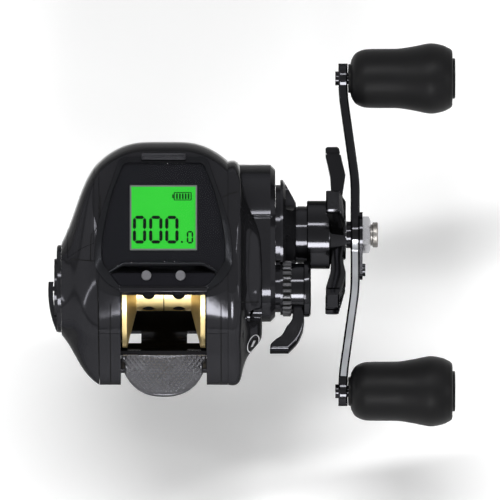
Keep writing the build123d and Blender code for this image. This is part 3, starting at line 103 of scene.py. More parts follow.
def new_material(title: str) -> tuple[bpy.types.Material, bpy.types.Nodes, bpy.types.NodeLinks]:
    """Return a new material with its nodes and links.

    Args:
        title: The material's name.

    Returns:
        The material, its nodes and its links.
    """
    made = bpy.data.materials.new(title)
    made.use_nodes = True
    return made, made.node_tree.nodes, made.node_tree.links


class Grain(Enum):
    """How a finish's fine detail runs."""

    SPECKLE = "speckle"
    ALONG_X = "along x"
    ACROSS_X = "rings round x"
    ALONG_ARM = "along the arm"


@dataclass(frozen=True)
class Coating:
    """What every finish shares: a name, and a material that is made on its first use.

    Attributes:
        name: The material's name.
    """

    name: str

    def material(self) -> bpy.types.Material:
        """Return the material, made if it isn't there yet.

        Returns:
            The material.
        """
        title = f"finish_{self.name}"
        made = bpy.data.materials.get(title)
        if made is None:
            made, nodes, links = new_material(title)
            self.fill(nodes, links)
        return made

    def fill(self, nodes: bpy.types.Nodes, links: bpy.types.NodeLinks) -> None:
        """Set up the material's nodes; each kind of finish has its own."""
        raise NotImplementedError


@dataclass(frozen=True)
class Finish(Coating):
    """A surface finish: two tones that mix in soft patches, and a fine grain.

    Attributes:
        light: The lighter tone, linear.
        dark: The darker tone, linear.
        metallic: How metallic it is.
        rough_low: The roughness where the patches are smoothest.
        rough_high: The roughness where the patches are dullest.
        specular: The specular level, 0.5 for plain plastic.
        edge: How much the metallic share mirrors at a grazing angle, 1 for bare metal.
        grain: How the grain runs.
        grain_size: The size of a grain in millimetres.
        grain_depth: The height of the grain in millimetres.
        patch_size: The size of a patch in millimetres.
        glow: The strength of the light that it gives out.
    """

    light: Triple
    dark: Triple
    metallic: float = 0.0
    rough_low: float = 0.3
    rough_high: float = 0.4
    specular: float = 0.5
    edge: float = 1.0
    grain: Grain = Grain.SPECKLE
    grain_size: float = 0.25
    grain_depth: float = 0.004
    patch_size: float = 6.0
    glow: float = 0.0

    def stretch(self) -> Triple:
        """Return how far the grain is drawn out along each axis, as scales of the pattern.

        Returns:
            The scales along X, Y and Z.
        """
        if self.grain is Grain.ALONG_X:
            return (0.03, 1.0, 1.0)
        if self.grain is Grain.ACROSS_X:
            return (1.0, 0.04, 0.04)
        if self.grain is Grain.ALONG_ARM:
            return (1.0, 0.05, 1.0)
        return (1.0, 1.0, 1.0)

    def fill(self, nodes: bpy.types.Nodes, links: bpy.types.NodeLinks) -> None:
        """Set up the patches and the grain.

        The patches are a soft noise that mixes the two tones and moves the roughness between its two
        values. The grain is a finer noise, drawn out along the finish's direction, that feeds a bump.

        Args:
            nodes: The material's nodes.
            links: The material's links.
        """
        shader = nodes["Principled BSDF"]
        place = add(nodes, "TexCoord")
        patch_place = add(nodes, "Mapping", Scale=(1.0 / (self.patch_size * MM),) * 3)
        patches = add(nodes, "TexNoise", Scale=1.0, Detail=4.0)
        tones = add(nodes, "Mix")
        tones.data_type = "RGBA"
        put(tones, A=(*self.dark, 1.0), B=(*self.light, 1.0))
        dullness = add(nodes, "MapRange", From_Min=PATCH_RANGE[0], From_Max=PATCH_RANGE[1],
                       To_Min=self.rough_low, To_Max=self.rough_high)
        grain_place = add(nodes, "Mapping", Scale=tuple(s / (self.grain_size * MM) for s in self.stretch()))
        if self.grain is Grain.ALONG_ARM:
            put(grain_place, Rotation=(-ARM_DIRECTION, 0.0, 0.0))
        grains = add(nodes, "TexNoise", Scale=1.0, Detail=2.0)
        bump = add(nodes, "Bump", Strength=1.0, Distance=self.grain_depth * MM)
        wire(links, (place, "Object", patch_place, "Vector"), (patch_place, "Vector", patches, "Vector"),
             (patches, "Fac", tones, "Factor"), (patches, "Fac", dullness, "Value"),
             (place, "Object", grain_place, "Vector"), (grain_place, "Vector", grains, "Vector"),
             (grains, "Fac", bump, "Height"), (tones, "Result", shader, "Base Color"),
             (dullness, "Result", shader, "Roughness"), (bump, "Normal", shader, "Normal"))
        put(shader, Metallic=self.metallic, Specular_IOR_Level=self.specular,
            Specular_Tint=(self.edge, self.edge, self.edge, 1.0))
        if self.glow > 0.0:
            wire(links, (tones, "Result", shader, "Emission Color"))
            put(shader, Emission_Strength=self.glow)


@dataclass(frozen=True)
class ClearFinish(Coating):
    """A thin clear sheet: light goes straight through all but a small share of it, which mirrors faintly.

    Attributes:
        tint: The colour of the share that stays.
        share: How much of the light meets the sheet's surface.
        rough: How dull the sheet's mirror is.
    """

    tint: Triple
    share: float
    rough: float

    def fill(self, nodes: bpy.types.Nodes, links: bpy.types.NodeLinks) -> None:
        """Set up a small alpha, with a faint noise in its roughness.

        Args:
            nodes: The material's nodes.
            links: The material's links.
        """
        shader = nodes["Principled BSDF"]
        place = add(nodes, "TexCoord")
        ripples = add(nodes, "TexNoise", Scale=RIPPLE_SCALE)
        dullness = add(nodes, "MapRange", To_Min=self.rough, To_Max=2.0 * self.rough)
        wire(links, (place, "Object", ripples, "Vector"), (ripples, "Fac", dullness, "Value"),
             (dullness, "Result", shader, "Roughness"))
        put(shader, Base_Color=(*self.tint, 1.0), Alpha=self.share)


BLACK = Finish("black_moulding", (0.03, 0.03, 0.0335), (0.025, 0.025, 0.028), metallic=0.62, rough_low=0.09,
               rough_high=0.13, specular=0.1, edge=0.12, grain_size=0.3, grain_depth=0.0006)
CHARCOAL = Finish("charcoal_moulding", (0.034, 0.034, 0.038), (0.027, 0.027, 0.03), metallic=0.7,
                  rough_low=0.3, rough_high=0.4, specular=0.12, edge=0.12, grain_size=0.2, grain_depth=0.002)
BEZEL_GREY = Finish("grey_bezel", (0.019, 0.0195, 0.022), (0.0155, 0.016, 0.018), metallic=0.75,
                    rough_low=0.2, rough_high=0.27, specular=0.12, edge=0.15, grain_size=0.18,
                    grain_depth=0.001)
SCREEN_EDGE = Finish("screen_edge", (0.16, 0.17, 0.17), (0.13, 0.135, 0.135))
PANEL = Finish("display_surround", (0.0085, 0.0085, 0.011), (0.007, 0.007, 0.009), rough_low=0.3,
               rough_high=0.36, specular=0.05, grain_depth=0.0002)
BUTTON = Finish("grey_button", (0.13, 0.13, 0.14), (0.1, 0.1, 0.11), rough_low=0.3, rough_high=0.4)
GOLD = Finish("gold_anodised", (0.93, 0.75, 0.38), (0.88, 0.68, 0.31), metallic=1.0, rough_low=0.36,
              rough_high=0.42, grain=Grain.ACROSS_X, grain_size=0.12, grain_depth=0.0012, patch_size=9.0)
BLACK_METAL = Finish("black_anodised", (0.03, 0.03, 0.033), (0.024, 0.024, 0.0265), metallic=0.9,
                     rough_low=0.1, rough_high=0.15, specular=0.3, edge=0.3, grain_size=0.15,
                     grain_depth=0.002)
STEEL = Finish("stainless_steel", (0.5, 0.5, 0.52), (0.4, 0.4, 0.42), metallic=1.0, rough_low=0.3,
               rough_high=0.4, grain=Grain.ACROSS_X, grain_size=0.1, grain_depth=0.0015)
BRIGHT = Finish("bright_steel", (0.62, 0.62, 0.64), (0.52, 0.52, 0.55), metallic=1.0, rough_low=0.24,
                rough_high=0.34, grain_size=0.2, grain_depth=0.001)
NUT_STEEL = Finish("nut_steel", (0.27, 0.26, 0.245), (0.2, 0.19, 0.18), metallic=1.0, rough_low=0.38,
                   rough_high=0.46)
BRASS = Finish("machined_brass", (0.78, 0.56, 0.24), (0.66, 0.46, 0.18), metallic=1.0, rough_low=0.25,
               rough_high=0.4, grain=Grain.ACROSS_X, grain_size=0.1)
RUBBER = Finish("knob_elastomer", (0.0065, 0.0065, 0.007), (0.005, 0.005, 0.0053), rough_low=0.42,
                rough_high=0.5, specular=0.1, grain_size=0.22, grain_depth=0.008, patch_size=8.0)
CARBON = Finish("carbon_washer", (0.05, 0.05, 0.05), (0.02, 0.02, 0.02), rough_low=0.4, rough_high=0.6)
BOARD = Finish("green_board", (0.02, 0.12, 0.05), (0.01, 0.08, 0.03), rough_low=0.3, rough_high=0.4)
BRUSHED = Finish("brushed_edge", (0.42, 0.43, 0.45), (0.3, 0.31, 0.33), metallic=0.85, rough_low=0.32,
                 rough_high=0.45, grain=Grain.ALONG_ARM, grain_size=0.12, grain_depth=0.004)
LIT_GREEN = Finish("lit_display", (0.035, 0.6, 0.04), (0.03, 0.565, 0.036), rough_low=0.3, rough_high=0.4,
                   specular=0.1, glow=0.12)
DIGIT = Finish("display_ink", (0.002, 0.008, 0.003), (0.001, 0.005, 0.002), rough_low=0.4, rough_high=0.5,
               specular=0.05)
GRIP = Finish("knurled_ring", (0.11, 0.11, 0.117), (0.09, 0.09, 0.096), metallic=0.4, rough_low=0.32,
              rough_high=0.4, specular=0.3, edge=0.2, grain_depth=0.001)
WOVEN = Finish("woven_pad", (0.1, 0.1, 0.108), (0.08, 0.08, 0.086), metallic=0.75, rough_low=0.22,
               rough_high=0.3, specular=0.2, edge=0.2, grain_size=0.2, grain_depth=0.002)
# Near black: the covers' dark seam lines, and painted shade in the spool's ports, in the gear cover's uncut
# recess and between the knurled ring's bars.
SEAM_AND_SHADE = Finish("seam_shadow", (0.002, 0.002, 0.002), (0.0015, 0.0015, 0.0015), rough_low=0.6, rough_high=0.7,
              specular=0.1)
CLEAR = ClearFinish("clear_window", (0.01, 0.012, 0.015), 0.08, 0.05)


# Surfaces


SIDE_SHARE = 0.48
LEAST_TURN = 0.62


def reel_points(across: Array, forward: Array, up: Array) -> Array:
    """Return places in metres from places measured in millimetres from the spool's axis.

    Args:
        across: Distances towards the handle.
        forward: Distances towards the rod tip.
        up: Heights.

    Returns:
        Places in metres.
    """
    across, forward, up = np.broadcast_arrays(across, forward, up)
    return np.stack((across, forward - FOOT_AHEAD, up + SEAT_TO_SPOOL), axis=-1) * MM


def display_points(across: Array, along: Array, height: Array) -> Array:
    """Return places given on the display's slope: across it, along it from its back edge, and above it.

    A place is the back edge's place, plus along times the slope's direction, plus height times its normal.

    Args:
        across: Distances across the display.
        along: Distances along its slope.
        height: Heights above its slope.

    Returns:
        Places in metres.
    """
    along, height = np.asarray(along, float), np.asarray(height, float)
    forward = DISPLAY_BACK + along * math.cos(DISPLAY_SLOPE) - height * math.sin(DISPLAY_SLOPE)
    up = DISPLAY_UP + along * math.sin(DISPLAY_SLOPE) + height * math.cos(DISPLAY_SLOPE)
    return reel_points(across, forward, up)


def rounded(points: Array, radius: float | Array, steps: int = 5, closed: bool = True) -> Array:
    """Round the corners of a polyline.

    Each corner is replaced by the curve (1-t)^2 A + 2t(1-t) P + t^2 B, where A and B lie on the two sides
    that meet at P, a radius away or at 0.48 of the side, whichever is less.

    Args:
        points: The corners, one pair a row.
        radius: The reach of the rounding, one for all or one for each corner.
        steps: The points on each corner's curve.
        closed: Whether the last corner joins the first.

    Returns:
        The polyline, with a curve at each corner.
    """
    points = np.asarray(points, float)
    back = np.roll(points, 1, axis=0) - points
    ahead = np.roll(points, -1, axis=0) - points
    back_length = np.linalg.norm(back, axis=1, keepdims=True)
    ahead_length = np.linalg.norm(ahead, axis=1, keepdims=True)
    reach = np.broadcast_to(np.asarray(radius, float), (len(points),))[:, None]
    start = points + back / back_length * np.minimum(reach, SIDE_SHARE * back_length)
    end = points + ahead / ahead_length * np.minimum(reach, SIDE_SHARE * ahead_length)
    t = np.linspace(0.0, 1.0, steps)[None, :, None]
    curve = (1 - t) ** 2 * start[:, None] + 2 * t * (1 - t) * points[:, None] + t**2 * end[:, None]
    if closed:
        return curve.reshape(-1, points.shape[1])
    inner = curve[1:-1].reshape(-1, points.shape[1])
    return np.concatenate((points[:1], inner, points[-1:]))


def shrunk(outline: Array, inset: float) -> Array:
    """Move a closed outline inwards by an inset.

    Each point moves along the bisector of its two sides' normals, by the inset over the cosine of half
    the turn, held to at most 1.6 insets. The outline runs anticlockwise; a clockwise one grows.

    Args:
        outline: The outline's points.
        inset: How far it moves.

    Returns:
        The moved outline.
    """
    side = np.roll(outline, -1, axis=0) - outline
    length = np.linalg.norm(side, axis=1, keepdims=True)
    normal = np.stack((-side[:, 1], side[:, 0]), axis=1) / np.maximum(length, 1e-9)
    before = np.roll(normal, 1, axis=0)
    middle = normal + before
    middle /= np.maximum(np.linalg.norm(middle, axis=1, keepdims=True), 1e-9)
    turn = np.clip(np.sum(middle * normal, axis=1, keepdims=True), LEAST_TURN, 1.0)
    return outline + middle * inset / turn


def circle(centre: Pair, radius: float, count: int) -> Array:
    """Return points round a circle, anticlockwise."""
    angle = np.linspace(0.0, 2 * math.pi, count, endpoint=False)
    return np.stack((centre[0] + radius * np.cos(angle), centre[1] + radius * np.sin(angle)), axis=1)


def box(left: float, right: float, low: float, high: float) -> Array:
    """Return a rectangle's corners, anticlockwise from the lower left."""
    return np.array(((left, low), (right, low), (right, high), (left, high)))


def evenly(outline: Array, count: int) -> Array:
    """Return a closed outline as so many points at equal distances along it.

    Args:
        outline: The outline's points.
        count: How many points to return.

    Returns:
        The new points.
    """
    closed = np.concatenate((outline, outline[:1]))
    length = np.concatenate(((0.0,), np.cumsum(np.linalg.norm(np.diff(closed, axis=0), axis=1))))
    steps = np.linspace(0.0, length[-1], count, endpoint=False)
    return np.stack((np.interp(steps, length, closed[:, 0]), np.interp(steps, length, closed[:, 1])), axis=1)


def area_of(outline: Array) -> float:
    """Return a closed outline's signed area, positive where it runs anticlockwise."""
    after = np.roll(outline, -1, axis=0)
    return 0.5 * float(np.sum(outline[:, 0] * after[:, 1] - outline[:, 1] * after[:, 0]))


def soft_steps(low: float, high: float, edge: float, steps: int = 4) -> tuple[Array, Array]:
    """Return the heights and insets that carry an outline from a soft lower edge to a soft upper edge.

    At each end the inset is edge (1 - sin a) and the height is edge (1 - cos a) from that end, for a from
    0 to a right angle.

    Args:
        low: The height of the lower face.
        high: The height of the upper face.
        edge: The radius of the edges.
        steps: The points round each edge.

    Returns:
        The heights and the insets, from the lower face up.
    """
    a = np.linspace(0.0, math.pi / 2, steps)
    inset = edge * (1 - np.sin(a))
    height = edge * (1 - np.cos(a))
    return np.concatenate((low + height, (high - height)[::-1])), np.concatenate((inset, inset[::-1]))


@dataclass
class Sheet:
    """A grid of points that becomes a mesh. Its last column joins the first.

    Attributes:
        points: The grid, rows by columns by three, in metres.
        round_rows: Whether the last row joins the first.
        cap_first: Whether a face closes the first row.
        cap_last: Whether a face closes the last row.
    """

    points: Array
    round_rows: bool = False
    cap_first: bool = False
    cap_last: bool = False

    def faces(self, start: int) -> list[Sequence[int]]:
        """Return the faces as lists of point numbers, counted from a start.

        A quad joins each grid point to its neighbours in the next row and column. The columns are wrapped,
        and so are the rows where they are round. A cap is one face round a whole row.

        Args:
            start: The number of the sheet's first point.

        Returns:
            The faces.
        """
        rows, columns = self.points.shape[:2]
        r, c = np.meshgrid(np.arange(rows if self.round_rows else rows - 1), np.arange(columns),
                           indexing="ij")
        next_r, next_c = (r + 1) % rows, (c + 1) % columns
        quads = np.stack((r * columns + c, r * columns + next_c, next_r * columns + next_c,
                          next_r * columns + c), -1)
        made: list[Sequence[int]] = (quads.reshape(-1, 4) + start).tolist()
        if self.cap_first:
            made.append((np.arange(columns)[::-1] + start).tolist())
        if self.cap_last:
            made.append((np.arange(columns) + start + (rows - 1) * columns).tolist())
        return made


def turned(profile: Array, centre: Pair = SPOOL_AXIS, count: int = 96, closed: bool = False) -> Sheet:
    """Return a profile of (across, radius) turned about an axis along X.

    A point at angle a is (across, forward + radius cos a, up + radius sin a). Radii under a micrometre
    close into a pole when the mesh's doubles are merged.

    Args:
        profile: The profile's points.
        centre: The axis, as (forward, up).
        count: The points round the axis.
        closed: Whether the profile's last point joins the first.

    Returns:
        The turned surface.
    """
    profile = np.asarray(profile, float)
    angle = np.linspace(0.0, 2 * math.pi, count, endpoint=False)[None, :]
    across, radius = profile[:, :1], profile[:, 1:]
    points = reel_points(across + 0 * angle, centre[0] + radius * np.cos(angle),
                         centre[1] + radius * np.sin(angle))
    return Sheet(points, round_rows=closed)


def raised(outline: Array, low: float, high: float, edge: float,
           place: Callable[[Array, Array, Array], Array], steps: int = 4) -> Sheet:
    """Return an outline carried from low to high with soft edges, capped at both ends.

    With more than two points round an edge, each cap gets a flat border of half an edge, so that it is
    shaded flat.

    Args:
        outline: The outline, in the two directions of the plane that it lies on.
        low: The height of its lower face.
        high: The height of its upper face.
        edge: The radius of its edges.
        place: What turns the plane's two directions and a height into places in metres.
        steps: The points round each edge.

    Returns:
        The solid outline, as one sheet.
    """
    if area_of(outline) < 0:
        outline = outline[::-1]
    heights, insets = soft_steps(low, high, edge, steps)
    if steps > 2:
        heights = np.concatenate(((low,), heights, (high,)))
        insets = np.concatenate(((1.5 * edge,), insets, (1.5 * edge,)))
    rows = [place(*shrunk(outline, inset).T, np.full(len(outline), height))
            for height, inset in zip(heights, insets)]
    return Sheet(np.stack(rows), cap_first=True, cap_last=True)


@dataclass(frozen=True)
class Layer:
    """A flat layer of some outline.

    Attributes:
        low: The height of its lower face.
        high: The height of its upper face.
        edge: The radius of its edges.
        steps: The points round each edge.
        corner: The reach of the rounding of the outline's corners.
        corner_steps: The points on each corner's curve.
    """

    low: float
    high: float
    edge: float
    steps: int = 4
    corner: float = 0.0
    corner_steps: int = 3

    def of(self, outline: Array, place: Callable[[Array, Array, Array], Array] = display_points) -> Sheet:
        """Return the layer: its outline carried from low to high, on the display's slope or as placed.

        Args:
            outline: The outline's points.
            place: What turns its points and a height into places in metres.

        Returns:
            The layer, as one sheet.
        """
        if self.corner > 0.0:
            outline = rounded(outline, self.corner, self.corner_steps)
        return raised(outline, self.low, self.high, self.edge, place, self.steps)


def ring_of(outer: Array, inner: Array, layer: Layer) -> Sheet:
    """Return a layer's ring between two outlines on the display of as many points, with soft edges on both.

    The rows go up the outer wall and down the inner wall, so the ring closes on itself.

    Args:
        outer: The outer outline.
        inner: The inner outline.
        layer: The ring's heights and edges.

    Returns:
        The ring.
    """
    heights, insets = soft_steps(layer.low, layer.high, layer.edge, layer.steps)
    rows = [display_points(*shrunk(outer, i).T, np.full(len(outer), h)) for h, i in zip(heights, insets)]
    rows += [display_points(*shrunk(inner, -i).T, np.full(len(inner), h))
             for h, i in zip(heights[::-1], insets[::-1])]
    return Sheet(np.stack(rows), round_rows=True)


def make_piece(name: str, sheets: Sequence[Sheet], finish: Coating, body: str,
               replaces: Sequence[str] = (), smooth_angle: float = 32.0) -> None:
    """Join sheets into one mesh, dress it and set it on its body.

    The doubles are merged, the normals are worked out again so that they point outwards, and edges over
    the smooth angle stay sharp.

    Args:
        name: The piece's name.
        sheets: The grids that it is made of.
        finish: Its finish.
        body: The body that it rides on.
        replaces: The nodes of the frame that it stands for.
        smooth_angle: The angle, in degrees, under which its faces are shaded as one.
    """
    points = np.concatenate([sheet.points.reshape(-1, 3) for sheet in sheets])
    starts = np.cumsum([0] + [sheet.points.shape[0] * sheet.points.shape[1] for sheet in sheets])
    faces = [face for sheet, start in zip(sheets, starts) for face in sheet.faces(int(start))]
    mesh = bpy.data.meshes.new(name)
    mesh.from_pydata(points, [], faces)
    mesh.validate()
    piece = bpy.data.objects.new(name, mesh)
    bpy.context.scene.collection.objects.link(piece)
    tidy_mesh(mesh)
    mesh.set_sharp_from_angle(angle=math.radians(smooth_angle))
    dress(piece, finish)
    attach(piece, body)
    if replaces:
        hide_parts(*replaces)
    LOG.info("%s: %d faces on %s", name, len(mesh.polygons), body)


def tidy_mesh(mesh: bpy.types.Mesh, gap: float = 1e-6) -> None:
    """Merge a mesh's doubles and turn its faces outwards.

    Args:
        mesh: The mesh.
        gap: The distance in metres under which two points are one.
    """
    work = bmesh.new()
    work.from_mesh(mesh)
    bmesh.ops.remove_doubles(work, verts=work.verts, dist=gap)
    bmesh.ops.dissolve_degenerate(work, edges=work.edges, dist=gap)
    bmesh.ops.recalc_face_normals(work, faces=work.faces)
    work.to_mesh(mesh)
    work.free()
    mesh.update()


def dress(piece: bpy.types.Object, finish: Coating) -> None:
    """Give a piece one finish all over."""
    piece.data.materials.clear()
    piece.data.materials.append(finish.material())


# Body: thumb bar, spool, seams


@dataclass
class ThumbBar:
    """The spool release: a half-round pad with a woven relief, and an ear in each side plate's slot.

    Attributes:
        front: The pad's front edge, forward of the spool's axis.
        up: Its height there.
        slope: How steeply it falls towards the angler, in degrees.
        half_width: Half its width.
        length: Its length down the slope.
        thickness: Its thickness.
        edge: The radius of its upper edge.
        pitch: The size of a diamond of the relief.
        relief: The height of a diamond.
        stretch: How much narrower than long a diamond is.
        bow_power: The power that squares off the bow's half ellipse.
        middle_share: How far down its length the rows meet.
        sunk: How far the relief's valleys lie under the edge's top.
        ear_inset: How far the ears start inside the pad's side.
        ear_out: Where they end across the reel.
        ear_sides: Their back and front faces.
        ear_layer: Their lower and upper faces, with soft edges.
        under: How far in the underside's inner and outer rows lie, and the height of its chamfer.
        bow_points: The points along the bow.
        round_points: The points round the pad.
        edge_rows: The rows over its upper edge.
        inward_rows: The rows from there to its middle.
    """

    front: float = -20.6
    up: float = -5.3
    slope: float = 17.78
    half_width: float = 13.32
    length: float = 13.1
    thickness: float = 2.4
    edge: float = 0.5
    pitch: float = 1.9
    relief: float = 0.24
    stretch: float = 1.25
    bow_power: float = 0.85
    middle_share: float = 0.42
    sunk: float = 0.02
    ear_inset: float = 1.4
    ear_out: float = 14.85
    ear_sides: Pair = (-25.85, -21.55)
    ear_layer: Layer = Layer(-7.95, -6.05, 0.3, corner=0.4)
    under: Triple = (3.0, 0.4, 0.4)
    bow_points: int = 90
    round_points: int = 420
    edge_rows: int = 5
    inward_rows: int = 85

    def build(self) -> None:
        """Make the pad with its relief, and its ears."""
        sides = [(side * (self.half_width - self.ear_inset), side * self.ear_out) for side in (-1.0, 1.0)]
        ears = [self.ear_layer.of(box(*ends, *self.ear_sides), reel_points) for ends in sides]
        make_piece("thumb_bar_pad", [self.pad()], WOVEN, "thumb_bar", ["thumb_bar"],
                   smooth_angle=60.0)
        make_piece("thumb_bar_ears", ears, BLACK, "thumb_bar")

    def pad_points(self, across: Array, down: Array, height: Array) -> Array:
        """Return places given across the pad, down its slope and above its plane.

        Args:
            across: Distances across the pad.
            down: Distances down its slope.
            height: Heights above its plane.

        Returns:
            Places in metres.
        """
        fall = math.radians(self.slope)
        forward = self.front - down * math.cos(fall) - height * math.sin(fall)
        return reel_points(across, forward, self.up - down * math.sin(fall) + height * math.cos(fall))

    def pad(self) -> Sheet:
        """Return the pad: the outline's rows go up its side, round its edge and in to its middle.

        The bow is a half ellipse whose across is drawn out by a power of |cos|. The relief is two sets of
        fine ridges that cross: its height times the larger of 1 - |sin(pi (k x + y) / p)| and
        1 - |sin(pi (k x - y) / p)|, with p the pitch and k the stretch. It fades out over the last
        millimetre before the edge.

        Returns:
            The pad.
        """
        turn = np.linspace(math.pi, 2 * math.pi, self.bow_points)[1:-1]
        bow = np.stack((self.half_width * np.sign(np.cos(turn)) * np.abs(np.cos(turn)) ** self.bow_power,
                        self.length * np.sin(turn)), axis=1)
        corners = np.concatenate((((-self.half_width, 0.0),), bow, ((self.half_width, 0.0),)))
        outline = evenly(corners, self.round_points)
        centre = np.array((0.0, -self.length * self.middle_share))
        size = np.linalg.norm(outline - centre, axis=1, keepdims=True)
        away = (outline - centre) / size
        bend = np.linspace(0.0, math.pi / 2, self.edge_rows + 1)[1:]
        inner, outer, chamfer = self.under
        inset = np.concatenate(((inner, outer, 0.0, 0.0), self.edge * (1 - np.cos(bend))))
        level = np.concatenate((np.array((0.0, 0.0, chamfer)) - self.thickness, (-self.edge,),
                                self.edge * (np.sin(bend) - 1)))
        share = np.linspace(1.0, 0.0, self.inward_rows + 1)[1:]
        side_rows = outline - away * inset[:, None, None]
        top_rows = centre + (outline - away * self.edge - centre) * share[:, None, None]
        across, down = self.stretch * top_rows[..., 0], top_rows[..., 1]
        first = 1 - np.abs(np.sin(np.pi * (across + down) / self.pitch))
        second = 1 - np.abs(np.sin(np.pi * (across - down) / self.pitch))
        fade = np.clip((1 - share)[:, None] * size[:, 0], 0.0, 1.0)
        relief = self.relief * np.maximum(first, second) * fade - self.sunk
        flat = np.concatenate((side_rows, top_rows))
        height = np.concatenate((np.broadcast_to(level[:, None], side_rows.shape[:2]), relief))
        return Sheet(self.pad_points(flat[..., 0], -flat[..., 1], height), cap_first=True)


@dataclass
class Spool:
    """The spool's dark details: the fine seam round the middle of its drum, and painted shade deep in its
    round ports.

    Attributes:
        drum_radius: The drum's radius.
        port_radius: The ports' radius.
        port_offset: How far the ports lie to each side of the middle.
        port_angle: The angle of the first port, in degrees.
        port_count: The ports round each side.
        seam_box: The seam's half width, its depth and how far it stands proud.
        shade_depths: How deep a port's disc of painted shade has its lower and upper faces.
        shade_gap: The gap round it.
        shade_edge: The radius of its edges.
        shade_points: The points round it.
    """

    drum_radius: float = 6.9
    port_radius: float = 2.1
    port_offset: float = 4.7
    port_angle: float = 131.0
    port_count: int = 6
    seam_box: Triple = (0.14, 0.3, 0.03)
    shade_depths: Pair = (0.75, 0.45)
    shade_gap: float = 0.02
    shade_edge: float = 0.05
    shade_points: int = 40

    def build(self) -> None:
        """Make the seam and a dark disc of painted shade low in each port; the frame's own spool stays in
        view.
        """
        half, deep, proud = self.seam_box
        low, high = self.drum_radius - deep, self.drum_radius + proud
        seam = turned(((-half, low), (-half, high), (half, high), (half, low)), closed=True)
        make_piece("spool_seam", [seam], SEAM_AND_SHADE, "spool")
        # Dark discs low in the ports: painted shade that makes the ports look deep.
        discs = [self.disc(side * self.port_offset,
                           math.radians(self.port_angle + 360 * number / self.port_count))
                 for number in range(self.port_count) for side in (-1.0, 1.0)]
        make_piece("spool_port_shades", discs, SEAM_AND_SHADE, "spool")

    def disc(self, across: float, angle: float) -> Sheet:
        """Return a thin disc of painted shade across a port, its middle at an angle round the axis and under
        the drum's face.

        Args:
            across: Where its middle lies across the drum.
            angle: Its angle round the axis, in radians.

        Returns:
            The disc.
        """
        def place(first: Array, second: Array, height: Array) -> Array:
            """Place a disc's point: first goes across, second round the drum, height out from the axis."""
            return reel_points(across + first, height * math.cos(angle) - second * math.sin(angle),
                               height * math.sin(angle) + second * math.cos(angle))
        low, high = (self.drum_radius - depth for depth in self.shade_depths)
        outline = circle((0.0, 0.0), self.port_radius - self.shade_gap, self.shade_points)
        return raised(outline, low, high, self.shade_edge, place, 2)


HOOD_SEAMS = (((-19.7, 29.4), (-19.7, 22.7), (-20.4, 19.6), (-21.4, 17.9), (-21.52, 17.78)),
              ((-22.62, 13.7), (-22.7, 8.7)),
              ((-28.6, 9.3), (-24.6, 8.9), (-21.4, 8.7)),
              ((-16.5, -4.5), (-16.6, -18.0), (-16.6, -29.6)),
              ((-20.6, 2.6), (-20.3, -4.5), (-20.25, -18.0), (-20.1, -29.0)))
GEAR_SEAMS = (((18.2, 28.4), (20.6, 29.6), (23.4, 30.3)),
              ((22.5, -4.1), (26.0, -4.1), (29.7, -4.1)),
              ((17.9, -4.5), (17.9, -18.0), (17.9, -29.6)))
DOOR_SEAM = ((-21.8, 17.5), (-22.5, 16.8), (-22.6, 14.1))


